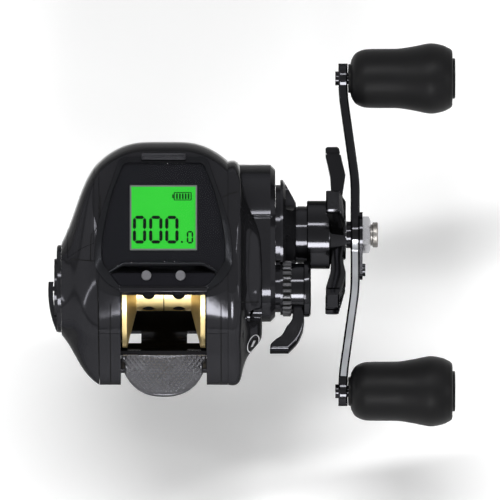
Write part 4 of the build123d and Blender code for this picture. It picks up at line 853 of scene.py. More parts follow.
@dataclass(frozen=True)
class Seams:
    """Fine seams of the covers, and the dark gasket between the side plate and the gear cover.

    Attributes:
        width: A seam's width.
        rise: How far it stands proud, so that it shows.
        spacing: The distance between two of its points.
        crown: A strip's section, as shares of half its width and of its rise.
        gasket_centre: The middle of the gasket, as (forward, up).
        gasket_at: Where the rays that find the cover's outline run, across the reel.
        gasket_rows: The gasket's section, as pairs of across and distance in from the cover's outline.
        gasket_points: The points round it.
        reach: How far out the gasket's rays start, in metres.
        stand_off: How far towards the camera a strip's rays start, in metres.
    """

    width: float = 0.3
    rise: float = 0.025
    spacing: float = 0.4
    crown: tuple[Pair, ...] = ((-1.0, -1.0), (-1.0, 0.5), (-0.55, 0.9), (0.0, 1.0), (0.55, 0.9), (1.0, 0.5),
                               (1.0, -1.0))
    gasket_centre: Pair = (3.0, 0.0)
    gasket_at: float = 20.4
    gasket_rows: tuple[Pair, ...] = ((19.98, 0.45), (20.14, 0.45), (20.14, 1.15), (19.98, 1.15))
    gasket_points: int = 240
    reach: float = 0.08
    stand_off: float = 0.3

    def build(self) -> None:
        """Make every seam and the gasket. The seam on the battery's door rides on the door."""
        hood = self.tree(("counter_hood", "palm_side_cover", "battery_door", "frame"))
        gear = self.tree(("counter_hood", "gear_side_cover", "frame"))
        lines = [self.strip(tree, path) for tree, paths in ((hood, HOOD_SEAMS), (gear, GEAR_SEAMS))
                 for path in paths]
        make_piece("cover_seam_lines", lines, SEAM_AND_SHADE, "reel")
        make_piece("battery_door_seam", [self.strip(hood, DOOR_SEAM)], SEAM_AND_SHADE, "battery_door")
        make_piece("gear_cover_gasket", [self.gasket()], SEAM_AND_SHADE, "reel")

    @staticmethod
    def tree(names: Sequence[str]) -> BVHTree:
        """Return a search tree over the faces of several nodes of the frame, read in one go each.

        Args:
            names: The names of the nodes.

        Returns:
            The search tree.
        """
        points, triangles, start = [], [], 0
        for name in names:
            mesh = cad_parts[name].data
            places = np.empty(3 * len(mesh.vertices))
            mesh.vertices.foreach_get("co", places)
            mesh.calc_loop_triangles()
            corners = np.empty(3 * len(mesh.loop_triangles), dtype=int)
            mesh.loop_triangles.foreach_get("vertices", corners)
            points.append(places.reshape(-1, 3))
            triangles.append(corners.reshape(-1, 3) + start)
            start += len(mesh.vertices)
        return BVHTree.FromPolygons(np.concatenate(points).tolist(), np.concatenate(triangles).tolist())

    def strip(self, tree: BVHTree, path: Sequence[Pair]) -> Sheet:
        """Return a thin strip laid on the surface that the camera sees along a path.

        The path's points are (across, up the picture). Each is carried along the line of sight to the first
        face. The strip's section there is a low crown: half a width to each side at the surface, and the
        whole rise in its middle. It closes as far below the surface.

        Args:
            tree: The faces to lay it on.
            path: The path's corners, in millimetres from the spool's axis.

        Returns:
            The strip.
        """
        corners = np.array(path, float)
        length = np.concatenate(((0.0,), np.cumsum(np.linalg.norm(np.diff(corners, axis=0), axis=1))))
        steps = np.linspace(0.0, length[-1], max(3, int(length[-1] / self.spacing)))
        across, high = np.interp(steps, length, corners[:, 0]), np.interp(steps, length, corners[:, 1])
        starts = reel_points(across, high * SIGHT[2], -high * SIGHT[1]) + self.stand_off * SIGHT
        found = (tree.ray_cast(Vector(start), Vector(-SIGHT)) for start in starts)
        hits = [hit for hit in found if hit[0] is not None]
        points = np.array([hit[0][:] for hit in hits])
        normals = np.array([hit[1][:] for hit in hits])
        normals *= np.sign(normals @ SIGHT)[:, None]
        way = np.gradient(points, axis=0)
        side = np.cross(way, normals)
        side *= self.width * MM / 2 / np.linalg.norm(side, axis=1, keepdims=True)
        lift = normals * self.rise * MM
        return Sheet(np.stack([points + out * side + up * lift for out, up in self.crown], 1), cap_first=True,
                     cap_last=True)

    def gasket(self) -> Sheet:
        """Return the gasket: a ring just inside the outline of the gear cover's open end.

        The outline comes from rays that run in to the middle at each angle and meet the cover.

        Returns:
            The gasket.
        """
        tree = self.tree(("gear_side_cover",))
        angle = np.linspace(0.0, 2 * math.pi, self.gasket_points, endpoint=False)
        forward, up = self.gasket_centre
        out = np.stack((0 * angle, np.cos(angle), np.sin(angle)), axis=1)
        middle = reel_points(self.gasket_at, forward, up)
        hits = [tree.ray_cast(Vector(middle + self.reach * ray), Vector(-ray)) for ray in out]
        radius = np.array([self.reach - hit[3] for hit in hits]) / MM
        rows = [reel_points(across, forward + (radius - inset) * out[:, 1], up + (radius - inset) * out[:, 2])
                for across, inset in self.gasket_rows]
        return Sheet(np.stack(rows), round_rows=True)


@dataclass
class GearCover:
    """Details on the gear cover: a rib, a screw in a dark strip of painted shade that stands for its recess,
    a bright rim round that, and dark collars on its bosses.

    Attributes:
        rib_ends: Where the rib starts and ends, as (across, up the picture).
        ridge_ends: Where the fine ridge beside it does.
        screw_place: Where the screw lies, the same way.
        screw_size: Half the recess's width and height as they are seen.
        screw_lean: How far the recess leans over, in degrees.
        oval_points: The points along the recess's outline.
        recess_half: Half the length of the recess's middle line, as a share of its half height.
        screw_half: The same for the screw in it.
        rib: The rib's width and rise.
        ridge: The width and rise of the fine ridge along it.
        rim: The width, rise and spacing of the strip round the oval.
        recess: The width and rise of the dark strip of painted shade that stands for the recess's floor.
        screw: The width and rise of the screw in it.
        boss: The boss's collar, as its two ends across and its two radii.
        neck: The collar on the cast control's neck, the same way.
    """

    rib_ends: tuple[Pair, Pair] = ((26.4, 22.6), (33.6, 22.6))
    ridge_ends: tuple[Pair, Pair] = ((21.4, 28.5), (25.6, 23.6))
    screw_place: Pair = (27.9, -17.1)
    screw_size: Pair = (1.5, 2.9)
    screw_lean: float = 24.0
    oval_points: int = 33
    recess_half: float = 0.62
    screw_half: float = 0.37
    rib: Seams = Seams(width=1.3, rise=0.45)
    ridge: Seams = Seams(width=0.5, rise=0.18)
    rim: Seams = Seams(width=0.34, rise=0.12, spacing=0.25)
    recess: Seams = Seams(width=2.3, rise=0.04)
    screw: Seams = Seams(width=1.0, rise=0.09)
    boss: tuple[float, float, float, float] = (41.8, 44.95, 8.6, 9.0)
    neck: tuple[float, float, float, float] = (36.4, 37.2, 7.4, 8.3)

    def build(self) -> None:
        """Make the rib, the recess's painted shade with its screw, and the collars."""
        cover = Seams.tree(("gear_side_cover", "frame"))
        rib = [self.rib.strip(cover, self.rib_ends), self.ridge.strip(cover, self.ridge_ends)]
        rim = self.rim.strip(cover, self.oval())
        # The recess is not cut: a dark strip of painted shade stands for its floor.
        recess = self.recess.strip(cover, self.middle_line(self.recess_half))
        screw = self.screw.strip(cover, self.middle_line(self.screw_half))
        make_piece("gear_cover_rib", rib, BLACK, "reel")
        make_piece("gear_cover_screw_rim", [rim], BRIGHT, "reel")
        make_piece("gear_cover_recess_shade", [recess], SEAM_AND_SHADE, "reel")
        make_piece("gear_cover_screw", [screw], STEEL, "reel")
        collars = [turned(((start, low), (end, low), (end, high), (start, high)), axis, closed=True)
                   for (start, end, low, high), axis in ((self.boss, DRIVE_AXIS), (self.neck, SPOOL_AXIS))]
        make_piece("gear_cover_collars", collars, BLACK, "reel")

    def middle_line(self, share: float) -> list[Pair]:
        """Return a line along the recess's middle that reaches a share of its half height to both sides.

        Args:
            share: The share of the recess's half height.

        Returns:
            The line's ends, as (across, up the picture).
        """
        lean, reach = math.radians(self.screw_lean), self.screw_size[1] * share
        return [(self.screw_place[0] + way * reach * math.sin(lean),
                 self.screw_place[1] + way * reach * math.cos(lean))
                for way in (-1.0, 1.0)]

    def oval(self) -> list[Pair]:
        """Return the recess's outline: an ellipse that leans over.

        Returns:
            The outline's points, as (across, up the picture).
        """
        lean = math.radians(self.screw_lean)
        angle = np.linspace(0.0, 2 * math.pi, self.oval_points)
        wide, tall = self.screw_size[0] * np.cos(angle), self.screw_size[1] * np.sin(angle)
        across = self.screw_place[0] + wide * math.cos(lean) + tall * math.sin(lean)
        high = self.screw_place[1] - wide * math.sin(lean) + tall * math.cos(lean)
        return list(zip(across.tolist(), high.tolist()))


# Display and buttons


def mirrored(half: Sequence[Pair]) -> Array:
    """Return a closed outline from its right half, listed from the top down.

    Args:
        half: The right half's points.

    Returns:
        The outline, anticlockwise.
    """
    right = np.array(half, float)
    left = right[::-1] * (-1.0, 1.0)
    return np.concatenate((right, left))[::-1]


@dataclass
class DisplayHead:
    """The display on the hood's flat: its sloping bezel, latch, surround, screen, clear window and lip.

    Outlines are pairs of (across, along the slope). Layers are heights above the slope.

    Attributes:
        bezel_half: The right half of the bezel's foot, from the top down.
        glass_half: The right half of the opening inside the bezel.
        glass_foot: The lowest corners of the glass's right half, in place of the opening's.
        glass_corner: How much the glass's corners are rounded.
        bezel_rows: The bezel's section, as pairs of share of the way in and height.
        bezel_corners: How much the corners of the bezel's foot and opening are rounded.
        bezel_steps: The points on each of those corners' curves.
        crossbar_half: The right half of the bar across the bezel, from the top down.
        crossbar: The bar's layer.
        lip_half: The right half of the lip under the bezel.
        lip: The lip's layer.
        surround: The layer of the dark plate round the screen.
        surround_gap: The gap between that plate and the bezel.
        window: The clear window's layer.
        window_gap: The gap round it.
        screen: The lit screen's left, right, lower and upper sides.
        lit: The screen's layer.
        screen_frame: The width of the thin frame round it.
        frame_layer: The frame's layer.
        ink: The layer of the screen's marks.
        digits: The left sides of the large noughts.
        digit_box: Their width, lower and upper sides and strokes.
        digit_gap: The gap between two of a nought's bars, as a share of its width.
        small_digit: The small nought's left, right, lower and upper sides and stroke.
        blocks: The point and the gauge's strokes, as left, right, lower and upper sides and corners.
        latch: The latch's sides.
        latch_layer: Its layer.
        ridge: The sides of the fine ridge along it.
        ridge_layer: The ridge's layer.
        panel_half: The right half of the button panel.
        panel: The panel's layer.
        panel_gap: The gap round the panel.
        panel_corner: How much the panel's corners are rounded.
        buttons: The middles of the two buttons.
        collar_radii: The outer and inner radius of the collar round a button.
        collar: The collar's layer.
        collar_points: The points round it.
    """

    bezel_half: tuple[Pair, ...] = ((13.5, 42.0), (17.75, 30.0), (20.6, 21.0), (21.4, 13.4), (21.4, 7.6),
                                    (17.8, 2.8), (13.1, 0.05))
    glass_half: tuple[Pair, ...] = ((12.3, 40.2), (15.8, 31.4), (17.9, 23.0), (19.15, 15.4), (19.15, 9.6),
                                    (16.5, 5.5), (13.3, 1.4))
    glass_foot: tuple[Pair, ...] = ((16.6, 6.7), (12.6, 9.2))
    glass_corner: float = 1.2
    bezel_rows: tuple[Pair, ...] = ((0.0, 0.0), (0.0, 0.45), (0.03, 0.62), (0.1, 0.75), (0.5, 1.15),
                                    (0.8, 1.46), (0.9, 1.55), (0.96, 1.53), (1.0, 1.4), (1.0, 0.0))
    bezel_corners: Pair = (2.2, 1.6)
    bezel_steps: int = 7
    crossbar_half: tuple[Pair, ...] = ((12.5, 9.15), (16.9, 6.5), (17.4, 5.9), (16.6, 5.35), (12.3, 7.75))
    crossbar: Layer = Layer(0.0, 1.35, 0.3, corner=0.5, corner_steps=4)
    lip_half: tuple[Pair, ...] = ((14.0, 1.75), (13.5, -0.1))
    lip: Layer = Layer(0.0, 1.62, 0.3, corner=0.3)
    surround: Layer = Layer(0.0, 0.24, 0.03, 2)
    surround_gap: float = 0.04
    window: Layer = Layer(0.42, 0.9, 0.12, 3)
    window_gap: float = 0.1
    screen: tuple[float, float, float, float] = (-9.95, 9.95, 13.5, 32.8)
    lit: Layer = Layer(0.2, 0.31, 0.02, 2)
    screen_frame: float = 0.5
    frame_layer: Layer = Layer(0.2, 0.27, 0.02, 2, corner=0.3)
    ink: Layer = Layer(0.3, 0.335, 0.005, 2)
    digits: Triple = (-9.5, -4.45, 0.55)
    digit_box: tuple[float, float, float, float] = (4.15, 15.1, 23.75, 1.0)
    digit_gap: float = 0.06
    small_digit: tuple[float, float, float, float, float] = (7.25, 9.25, 15.1, 19.0, 0.5)
    blocks: tuple[tuple[float, float, float, float, float], ...] = (
        (5.45, 6.05, 15.3, 15.9, 0.08), (3.35, 8.6, 28.55, 28.8, 0.05), (3.35, 8.6, 30.85, 31.1, 0.05),
        (3.2, 3.5, 28.65, 31.0, 0.05), (8.45, 8.75, 28.65, 31.0, 0.05), (2.75, 3.15, 29.2, 30.4, 0.08),
        (3.95, 4.45, 29.0, 30.65, 0.04), (4.85, 5.35, 29.0, 30.65, 0.04), (5.75, 6.25, 29.0, 30.65, 0.04),
        (6.65, 7.15, 29.0, 30.65, 0.04), (7.55, 8.05, 29.0, 30.65, 0.04))
    latch: tuple[float, float, float, float] = (-6.9, 6.9, 41.1, 43.2)
    latch_layer: Layer = Layer(0.02, 1.95, 0.35, corner=0.4, corner_steps=4)
    ridge: tuple[float, float, float, float] = (-5.9, 5.9, 41.7, 42.2)
    ridge_layer: Layer = Layer(1.9, 2.08, 0.1, corner=0.2)
    panel_half: tuple[Pair, ...] = ((12.2, 7.6), (16.35, 5.2), (13.1, 1.55))
    panel: Layer = Layer(0.0, 1.02, 0.12)
    panel_gap: float = 0.06
    panel_corner: float = 0.4
    buttons: tuple[Pair, Pair] = ((-5.3, 5.1), (5.3, 5.1))
    collar_radii: Pair = (2.0, 1.66)
    collar: Layer = Layer(0.9, 1.14, 0.06)
    collar_points: int = 40

    def build(self) -> None:
        """Make every piece of the display."""
        self.make_bezel()
        self.make_surround()
        self.make_screen()
        self.make_latch()
        self.make_button_panel()

    def make_bezel(self) -> None:
        """Make the bezel: rows that go up its outer wall, in over its slope and down its inner wall.

        A row at share t lies on (1 - t) foot + t opening, with both outlines' corners rounded alike.
        """
        foot, opening = (rounded(mirrored(half), corner, self.bezel_steps)
                         for half, corner in zip((self.bezel_half, self.glass_half), self.bezel_corners))
        share, height = np.array(self.bezel_rows).T
        outline = (1 - share)[:, None, None] * foot + share[:, None, None] * opening
        points = display_points(outline[..., 0], outline[..., 1],
                                np.broadcast_to(height[:, None], outline.shape[:2]))
        crossbar = self.crossbar.of(mirrored(self.crossbar_half))
        lip = self.lip.of(mirrored(self.lip_half))
        make_piece("display_lip", [lip], BLACK, "reel")
        make_piece("display_bezel_frame", [Sheet(points, round_rows=True), crossbar], BEZEL_GREY, "reel",
                   ["display_bezel"], smooth_angle=24.0)

    def glass_outline(self, inset: float) -> Array:
        """Return the glass's outline, moved in: the opening down to the crossbar."""
        return shrunk(rounded(mirrored(self.glass_half[:5] + self.glass_foot), self.glass_corner, 6), inset)

    def make_surround(self) -> None:
        """Make the dark plate round the screen, its thin grey frame and the clear window over both."""
        plate = self.surround.of(self.glass_outline(self.surround_gap))
        make_piece("display_surround", [plate], PANEL, "reel")
        outline = shrunk(box(*self.screen), -self.screen_frame)
        make_piece("display_screen_frame", [self.frame_layer.of(outline)], SCREEN_EDGE, "reel")
        window = self.window.of(self.glass_outline(self.window_gap))
        make_piece("display_clear_window", [window], CLEAR, "reel", ["display_window"])

    def make_screen(self) -> None:
        """Make the lit screen and its marks."""
        make_piece("display_lit_screen", [self.lit.of(box(*self.screen))], LIT_GREEN, "reel",
                   ["lcd_panel"])
        width, low, high, stroke = self.digit_box
        marks = [bar for left in self.digits for bar in self.nought(left, left + width, low, high, stroke)]
        marks += self.nought(*self.small_digit)
        marks += [self.ink.of(rounded(box(*sides), corner, 3)) for *sides, corner in self.blocks]
        make_piece("display_ink_marks", marks, DIGIT, "reel")

    def segment(self, start: Pair, end: Pair, width: float) -> Sheet:
        """Return one bar of a digit: a thin strip with pointed ends from start to end.

        Args:
            start: Where its first point lies.
            end: Where its last point lies.
            width: Its width.

        Returns:
            The bar.
        """
        a, b = np.array(start), np.array(end)
        way = (b - a) / np.linalg.norm(b - a)
        side = np.array((-way[1], way[0])) * width / 2
        tip = way * width / 2
        return self.ink.of(np.array((a, a + tip - side, b - tip - side, b, b - tip + side, a + tip + side)))

    def nought(self, left: float, right: float, low: float, high: float, width: float) -> list[Sheet]:
        """Return the six bars of a nought in a box, with small gaps where they meet.

        Args:
            left: The box's left side.
            right: Its right side.
            low: Its lower side.
            high: Its upper side.
            width: The width of a bar.

        Returns:
            The bars.
        """
        gap, mid = self.digit_gap / 2 * (right - left), (low + high) / 2
        l, r, b, t = left + width / 2, right - width / 2, low + width / 2, high - width / 2
        level = [((l + gap, height), (r - gap, height)) for height in (b, t)]
        upright = [((side, foot + gap), (side, top - gap)) for side in (l, r)
                   for foot, top in ((b, mid), (mid, t))]
        return [self.segment(start, end, width) for start, end in level + upright]

    def make_latch(self) -> None:
        """Make the latch at the bezel's top: a bar with soft edges and a fine ridge along it."""
        sheets = [self.latch_layer.of(box(*self.latch)), self.ridge_layer.of(box(*self.ridge))]
        make_piece("bezel_latch_bar", sheets, CHARCOAL, "reel", ["bezel_latch"])

    def make_button_panel(self) -> None:
        """Make the dark panel under the crossbar and a thin raised collar round each button."""
        panel = self.panel.of(shrunk(rounded(mirrored(self.panel_half), self.panel_corner, 4),
                                     self.panel_gap))
        rings = [[circle(centre, radius, self.collar_points) for radius in self.collar_radii]
                 for centre in self.buttons]
        collars = [ring_of(outer, inner, self.collar) for outer, inner in rings]
        make_piece("button_panel_plate", [panel, *collars], PANEL, "reel", ["button_panel"])


@dataclass
class PushButton:
    """A round button with a soft rim and a shallow dish.

    Attributes:
        name: The button's body and node.
        across: Where its centre lies across the display.
        along: Where its centre lies along the display's slope.
        radius: Its radius.
        top: The height of its rim.
        edge: The radius of its rim's edge.
        wall: The heights of its foot, inside the panel, and of its wall's middle.
        dish: The dish's radius and depths, at its side and its middle.
        edge_rows: The rows over its rim's edge.
        round_points: The points round it.
    """

    name: str
    across: float
    along: float = 5.1
    radius: float = 1.55
    top: float = 1.78
    edge: float = 0.35
    wall: Pair = (-0.6, 0.4)
    dish: Triple = (0.55, 0.06, 0.1)
    edge_rows: int = 6
    round_points: int = 48

    def build(self) -> None:
        """Make the button: circles that rise up its wall, over its rim and down into its dish."""
        a = np.linspace(0.0, math.pi / 2, self.edge_rows)
        dish_radius, side_depth, middle_depth = self.dish
        height = np.concatenate((self.wall, self.top - self.edge + self.edge * np.sin(a),
                                 (self.top - side_depth, self.top - middle_depth)))
        radius = np.concatenate(((self.radius, self.radius), self.radius - self.edge + self.edge * np.cos(a),
                                 (dish_radius, 0.0)))
        turn = np.linspace(0.0, 2 * math.pi, self.round_points, endpoint=False)
        across = self.across + radius[:, None] * np.cos(turn)
        along = self.along + radius[:, None] * np.sin(turn)
        points = display_points(across, along, np.broadcast_to(height[:, None], along.shape))
        make_piece(f"{self.name}_cap", [Sheet(points, cap_first=True)], BUTTON, self.name, [self.name],
                   smooth_angle=50.0)


# Controls on the handle's side


@dataclass
class CastControl:
    """The cast control: a knurled ring, a smooth neck, a rounded rim, and a hooked lever with a blunt end.

    Profiles are pairs of (across, radius).

    Attributes:
        knob: The profile of the neck and the rim.
        face: The profile of the flat end.
        grip: The profile of the knurled ring's bars, with the share of the teeth at each place.
        core: The profile of the dark ring under the bars: painted shade in the gaps between them.
        teeth: The number of teeth round the ring.
        tooth_depth: A tooth's depth.
        tooth_wave: The middle and the swing of the wave that shapes the teeth.
        tooth_points: The points along a tooth.
        round_points: The points round the knob.
        lever_layer: How far the lever reaches to its two sides, with soft edges.
        direction: Where the lever points, in degrees from forward towards up.
        outer_side: The lever's outer side, as pairs of across and distance from the axis.
        inner_side: Its inner side, from the tip back to the neck.
    """

    knob: tuple[Pair, ...] = ((39.6, 6.0), (39.6, 7.9), (43.6, 7.9), (43.7, 8.6), (43.9, 8.85), (45.0, 8.85),
                              (45.45, 8.73), (45.78, 8.35), (45.9, 7.85), (45.9, 6.65), (45.6, 6.25),
                              (45.6, 6.0))
    face: tuple[Pair, ...] = ((45.5, 6.05), (45.59, 6.05), (45.6, 0.0), (45.5, 0.0))
    grip: tuple[Triple, ...] = ((37.0, 6.0, 0.0), (37.0, 8.2, 0.3), (37.35, 8.7, 1.0), (39.45, 8.7, 1.0),
                                (39.8, 8.3, 0.4), (39.8, 6.0, 0.0))
    core: tuple[Pair, ...] = ((37.2, 7.4), (37.2, 8.05), (39.6, 8.05), (39.6, 7.4))
    teeth: int = 26
    tooth_depth: float = 1.0
    tooth_wave: Pair = (0.5, 1.1)
    tooth_points: int = 16
    round_points: int = 120
    lever_layer: Layer = Layer(-2.2, 2.2, 0.45)
    direction: float = 185.0
    outer_side: tuple[Pair, ...] = ((43.5, 7.1), (43.8, 12.0), (42.9, 15.9), (41.4, 18.7), (38.9, 21.5))
    inner_side: tuple[Pair, ...] = ((33.1, 21.5), (33.4, 19.8), (34.9, 18.2), (36.9, 16.6), (38.3, 13.9),
                                    (40.0, 11.2), (40.3, 7.1))

    def build(self) -> None:
        """Make the knob with its lever, its knurled ring, and painted shade between the ring's bars."""
        knob = [turned(profile, count=self.round_points, closed=True) for profile in (self.knob, self.face)]
        make_piece("cast_control_body", [*knob, self.lever()], BLACK_METAL, "cast_control",
                   ["cast_control_knob"], smooth_angle=28.0)
        make_piece("cast_control_grip", [self.bars()], GRIP, "cast_control",
                   smooth_angle=28.0)
        # A dark ring under the knurled bars: painted shade in the gaps between them.
        shade = turned(self.core, count=self.round_points, closed=True)
        make_piece("cast_control_grip_shade", [shade], SEAM_AND_SHADE, "cast_control")

    def bars(self) -> Sheet:
        """Return the knurled ring.

        At angle a the teeth take away depth * share * (1 - T(a)), where T is a raised cosine of the teeth's
        number, cut off flat at top and foot.

        Returns:
            The ring.
        """
        across, radius, share = np.array(self.grip).T[:, :, None]
        angle = np.linspace(0.0, 2 * math.pi, self.tooth_points * self.teeth, endpoint=False)[None, :]
        tooth = np.clip(self.tooth_wave[0] + self.tooth_wave[1] * np.cos(self.teeth * angle), 0.0, 1.0)
        radius = radius - self.tooth_depth * share * (1 - tooth)
        return Sheet(reel_points(across, radius * np.cos(angle), radius * np.sin(angle)), round_rows=True)

    def lever(self) -> Sheet:
        """Return the lever: its outline carried through its thickness with soft edges."""
        outline = np.concatenate([smooth_line(np.array(side)) for side in (self.outer_side, self.inner_side)])
        return self.lever_layer.of(outline, self.lever_points)

    def lever_points(self, across: Array, reach: Array, aside: Array) -> Array:
        """Return places given across the reel, out from the axis along the lever, and aside from it.

        Args:
            across: Distances across the reel.
            reach: Distances from the axis.
            aside: Distances towards the angler.

        Returns:
            Places in metres.
        """
        turn = math.radians(self.direction)
        return reel_points(across, reach * math.cos(turn) - aside * math.sin(turn),
                           reach * math.sin(turn) + aside * math.cos(turn))


@dataclass
class StarDrag:
    """The star drag: a skirt, a coned hub and five bent arms with flat faces and a groove near each tip.

    Attributes:
        skirt: The turned part's profile, as pairs of across and radius.
        arm_rows: An arm's sections from the hub out, as distance, inner face, outer face and half width.
        edge: The reach of the arms' soft corners.
        first_turn: The first arm's angle, in degrees from forward towards up.
        arms: The number of arms.
    """

    skirt: tuple[Pair, ...] = ((44.7, 9.3), (44.7, 10.4), (45.0, 10.7), (51.6, 10.7), (51.9, 10.5),
                               (52.1, 9.2), (56.5, 7.9), (56.9, 7.5), (56.9, 4.1), (50.9, 4.1), (50.9, 9.3))
    arm_rows: tuple[tuple[float, float, float, float], ...] = (
        (7.0, 52.3, 56.4, 3.3), (12.1, 52.3, 55.85, 3.3), (17.7, 52.05, 56.7, 3.5), (18.6, 51.9, 56.8, 3.5),
        (24.3, 50.6, 55.45, 3.5), (24.9, 50.55, 55.3, 3.5), (25.0, 50.95, 54.9, 3.1),
        (25.4, 50.95, 54.85, 3.1), (25.5, 50.55, 55.1, 3.5), (26.9, 50.55, 54.8, 3.5),
        (27.4, 51.0, 54.3, 3.0))
    edge: float = 0.4
    first_turn: float = 25.0
    arms: int = 5

    def build(self) -> None:
        """Make the star as one piece."""
        arms = [self.arm(math.radians(self.first_turn + 360 * number / self.arms))
                for number in range(self.arms)]
        make_piece("star_drag_body", [turned(self.skirt, DRIVE_AXIS, closed=True), *arms], BLACK_METAL,
                   "star_drag", ["star_drag"], smooth_angle=22.0)

    def arm(self, turn: float) -> Sheet:
        """Return an arm at an angle: its sections are rectangles with soft corners, one behind the other.

        Args:
            turn: The arm's angle, in radians.

        Returns:
            The arm.
        """
        sections = []
        for reach, inner, outer, half in self.arm_rows:
            section = rounded(box(inner, outer, -half, half), self.edge, 4)
            forward = DRIVE_AXIS[0] + reach * math.cos(turn) - section[:, 1] * math.sin(turn)
            up = DRIVE_AXIS[1] + reach * math.sin(turn) + section[:, 1] * math.cos(turn)
            sections.append(reel_points(section[:, 0], forward, up))
        return Sheet(np.stack(sections), cap_first=True, cap_last=True)


# Handle


def smooth_line(points: Array, steps: int = 10) -> Array:
    """Run a smooth curve through points.

    Between P1 and P2 it is 0.5 (2 P1 + (P2 - P0) t + (2 P0 - 5 P1 + 4 P2 - P3) t^2
    + (3 P1 - P0 - 3 P2 + P3) t^3), for t from 0 to 1. The line is drawn out by one point at each end.

    Args:
        points: The points that it runs through.
        steps: The points on each stretch.

    Returns:
        The points of the curve.
    """
    held = np.concatenate((2 * points[:1] - points[1:2], points, 2 * points[-1:] - points[-2:-1]))
    p0, p1, p2, p3 = (held[i:len(held) - 3 + i, None] for i in range(4))
    t = np.linspace(0.0, 1.0, steps, endpoint=False)[None, :, None]
    curve = 0.5 * (2 * p1 + (p2 - p0) * t + (2 * p0 - 5 * p1 + 4 * p2 - p3) * t**2
                   + (3 * p1 - p0 - 3 * p2 + p3) * t**3)
    return np.concatenate((curve.reshape(-1, points.shape[1]), points[-1:]))


def arm_points(across: Array, along: Array, side: Array) -> Array:
    """Return places given across the reel, along the handle's arm and out to its upper side.

    Args:
        across: Distances across the reel.
        along: Distances along the arm.
        side: Distances out to its upper side.

    Returns:
        Places in metres.
    """
    forward = DRIVE_AXIS[0] + along * math.cos(ARM_DIRECTION) - side * math.sin(ARM_DIRECTION)
    up = DRIVE_AXIS[1] + along * math.sin(ARM_DIRECTION) + side * math.cos(ARM_DIRECTION)
    return reel_points(across, forward, up)


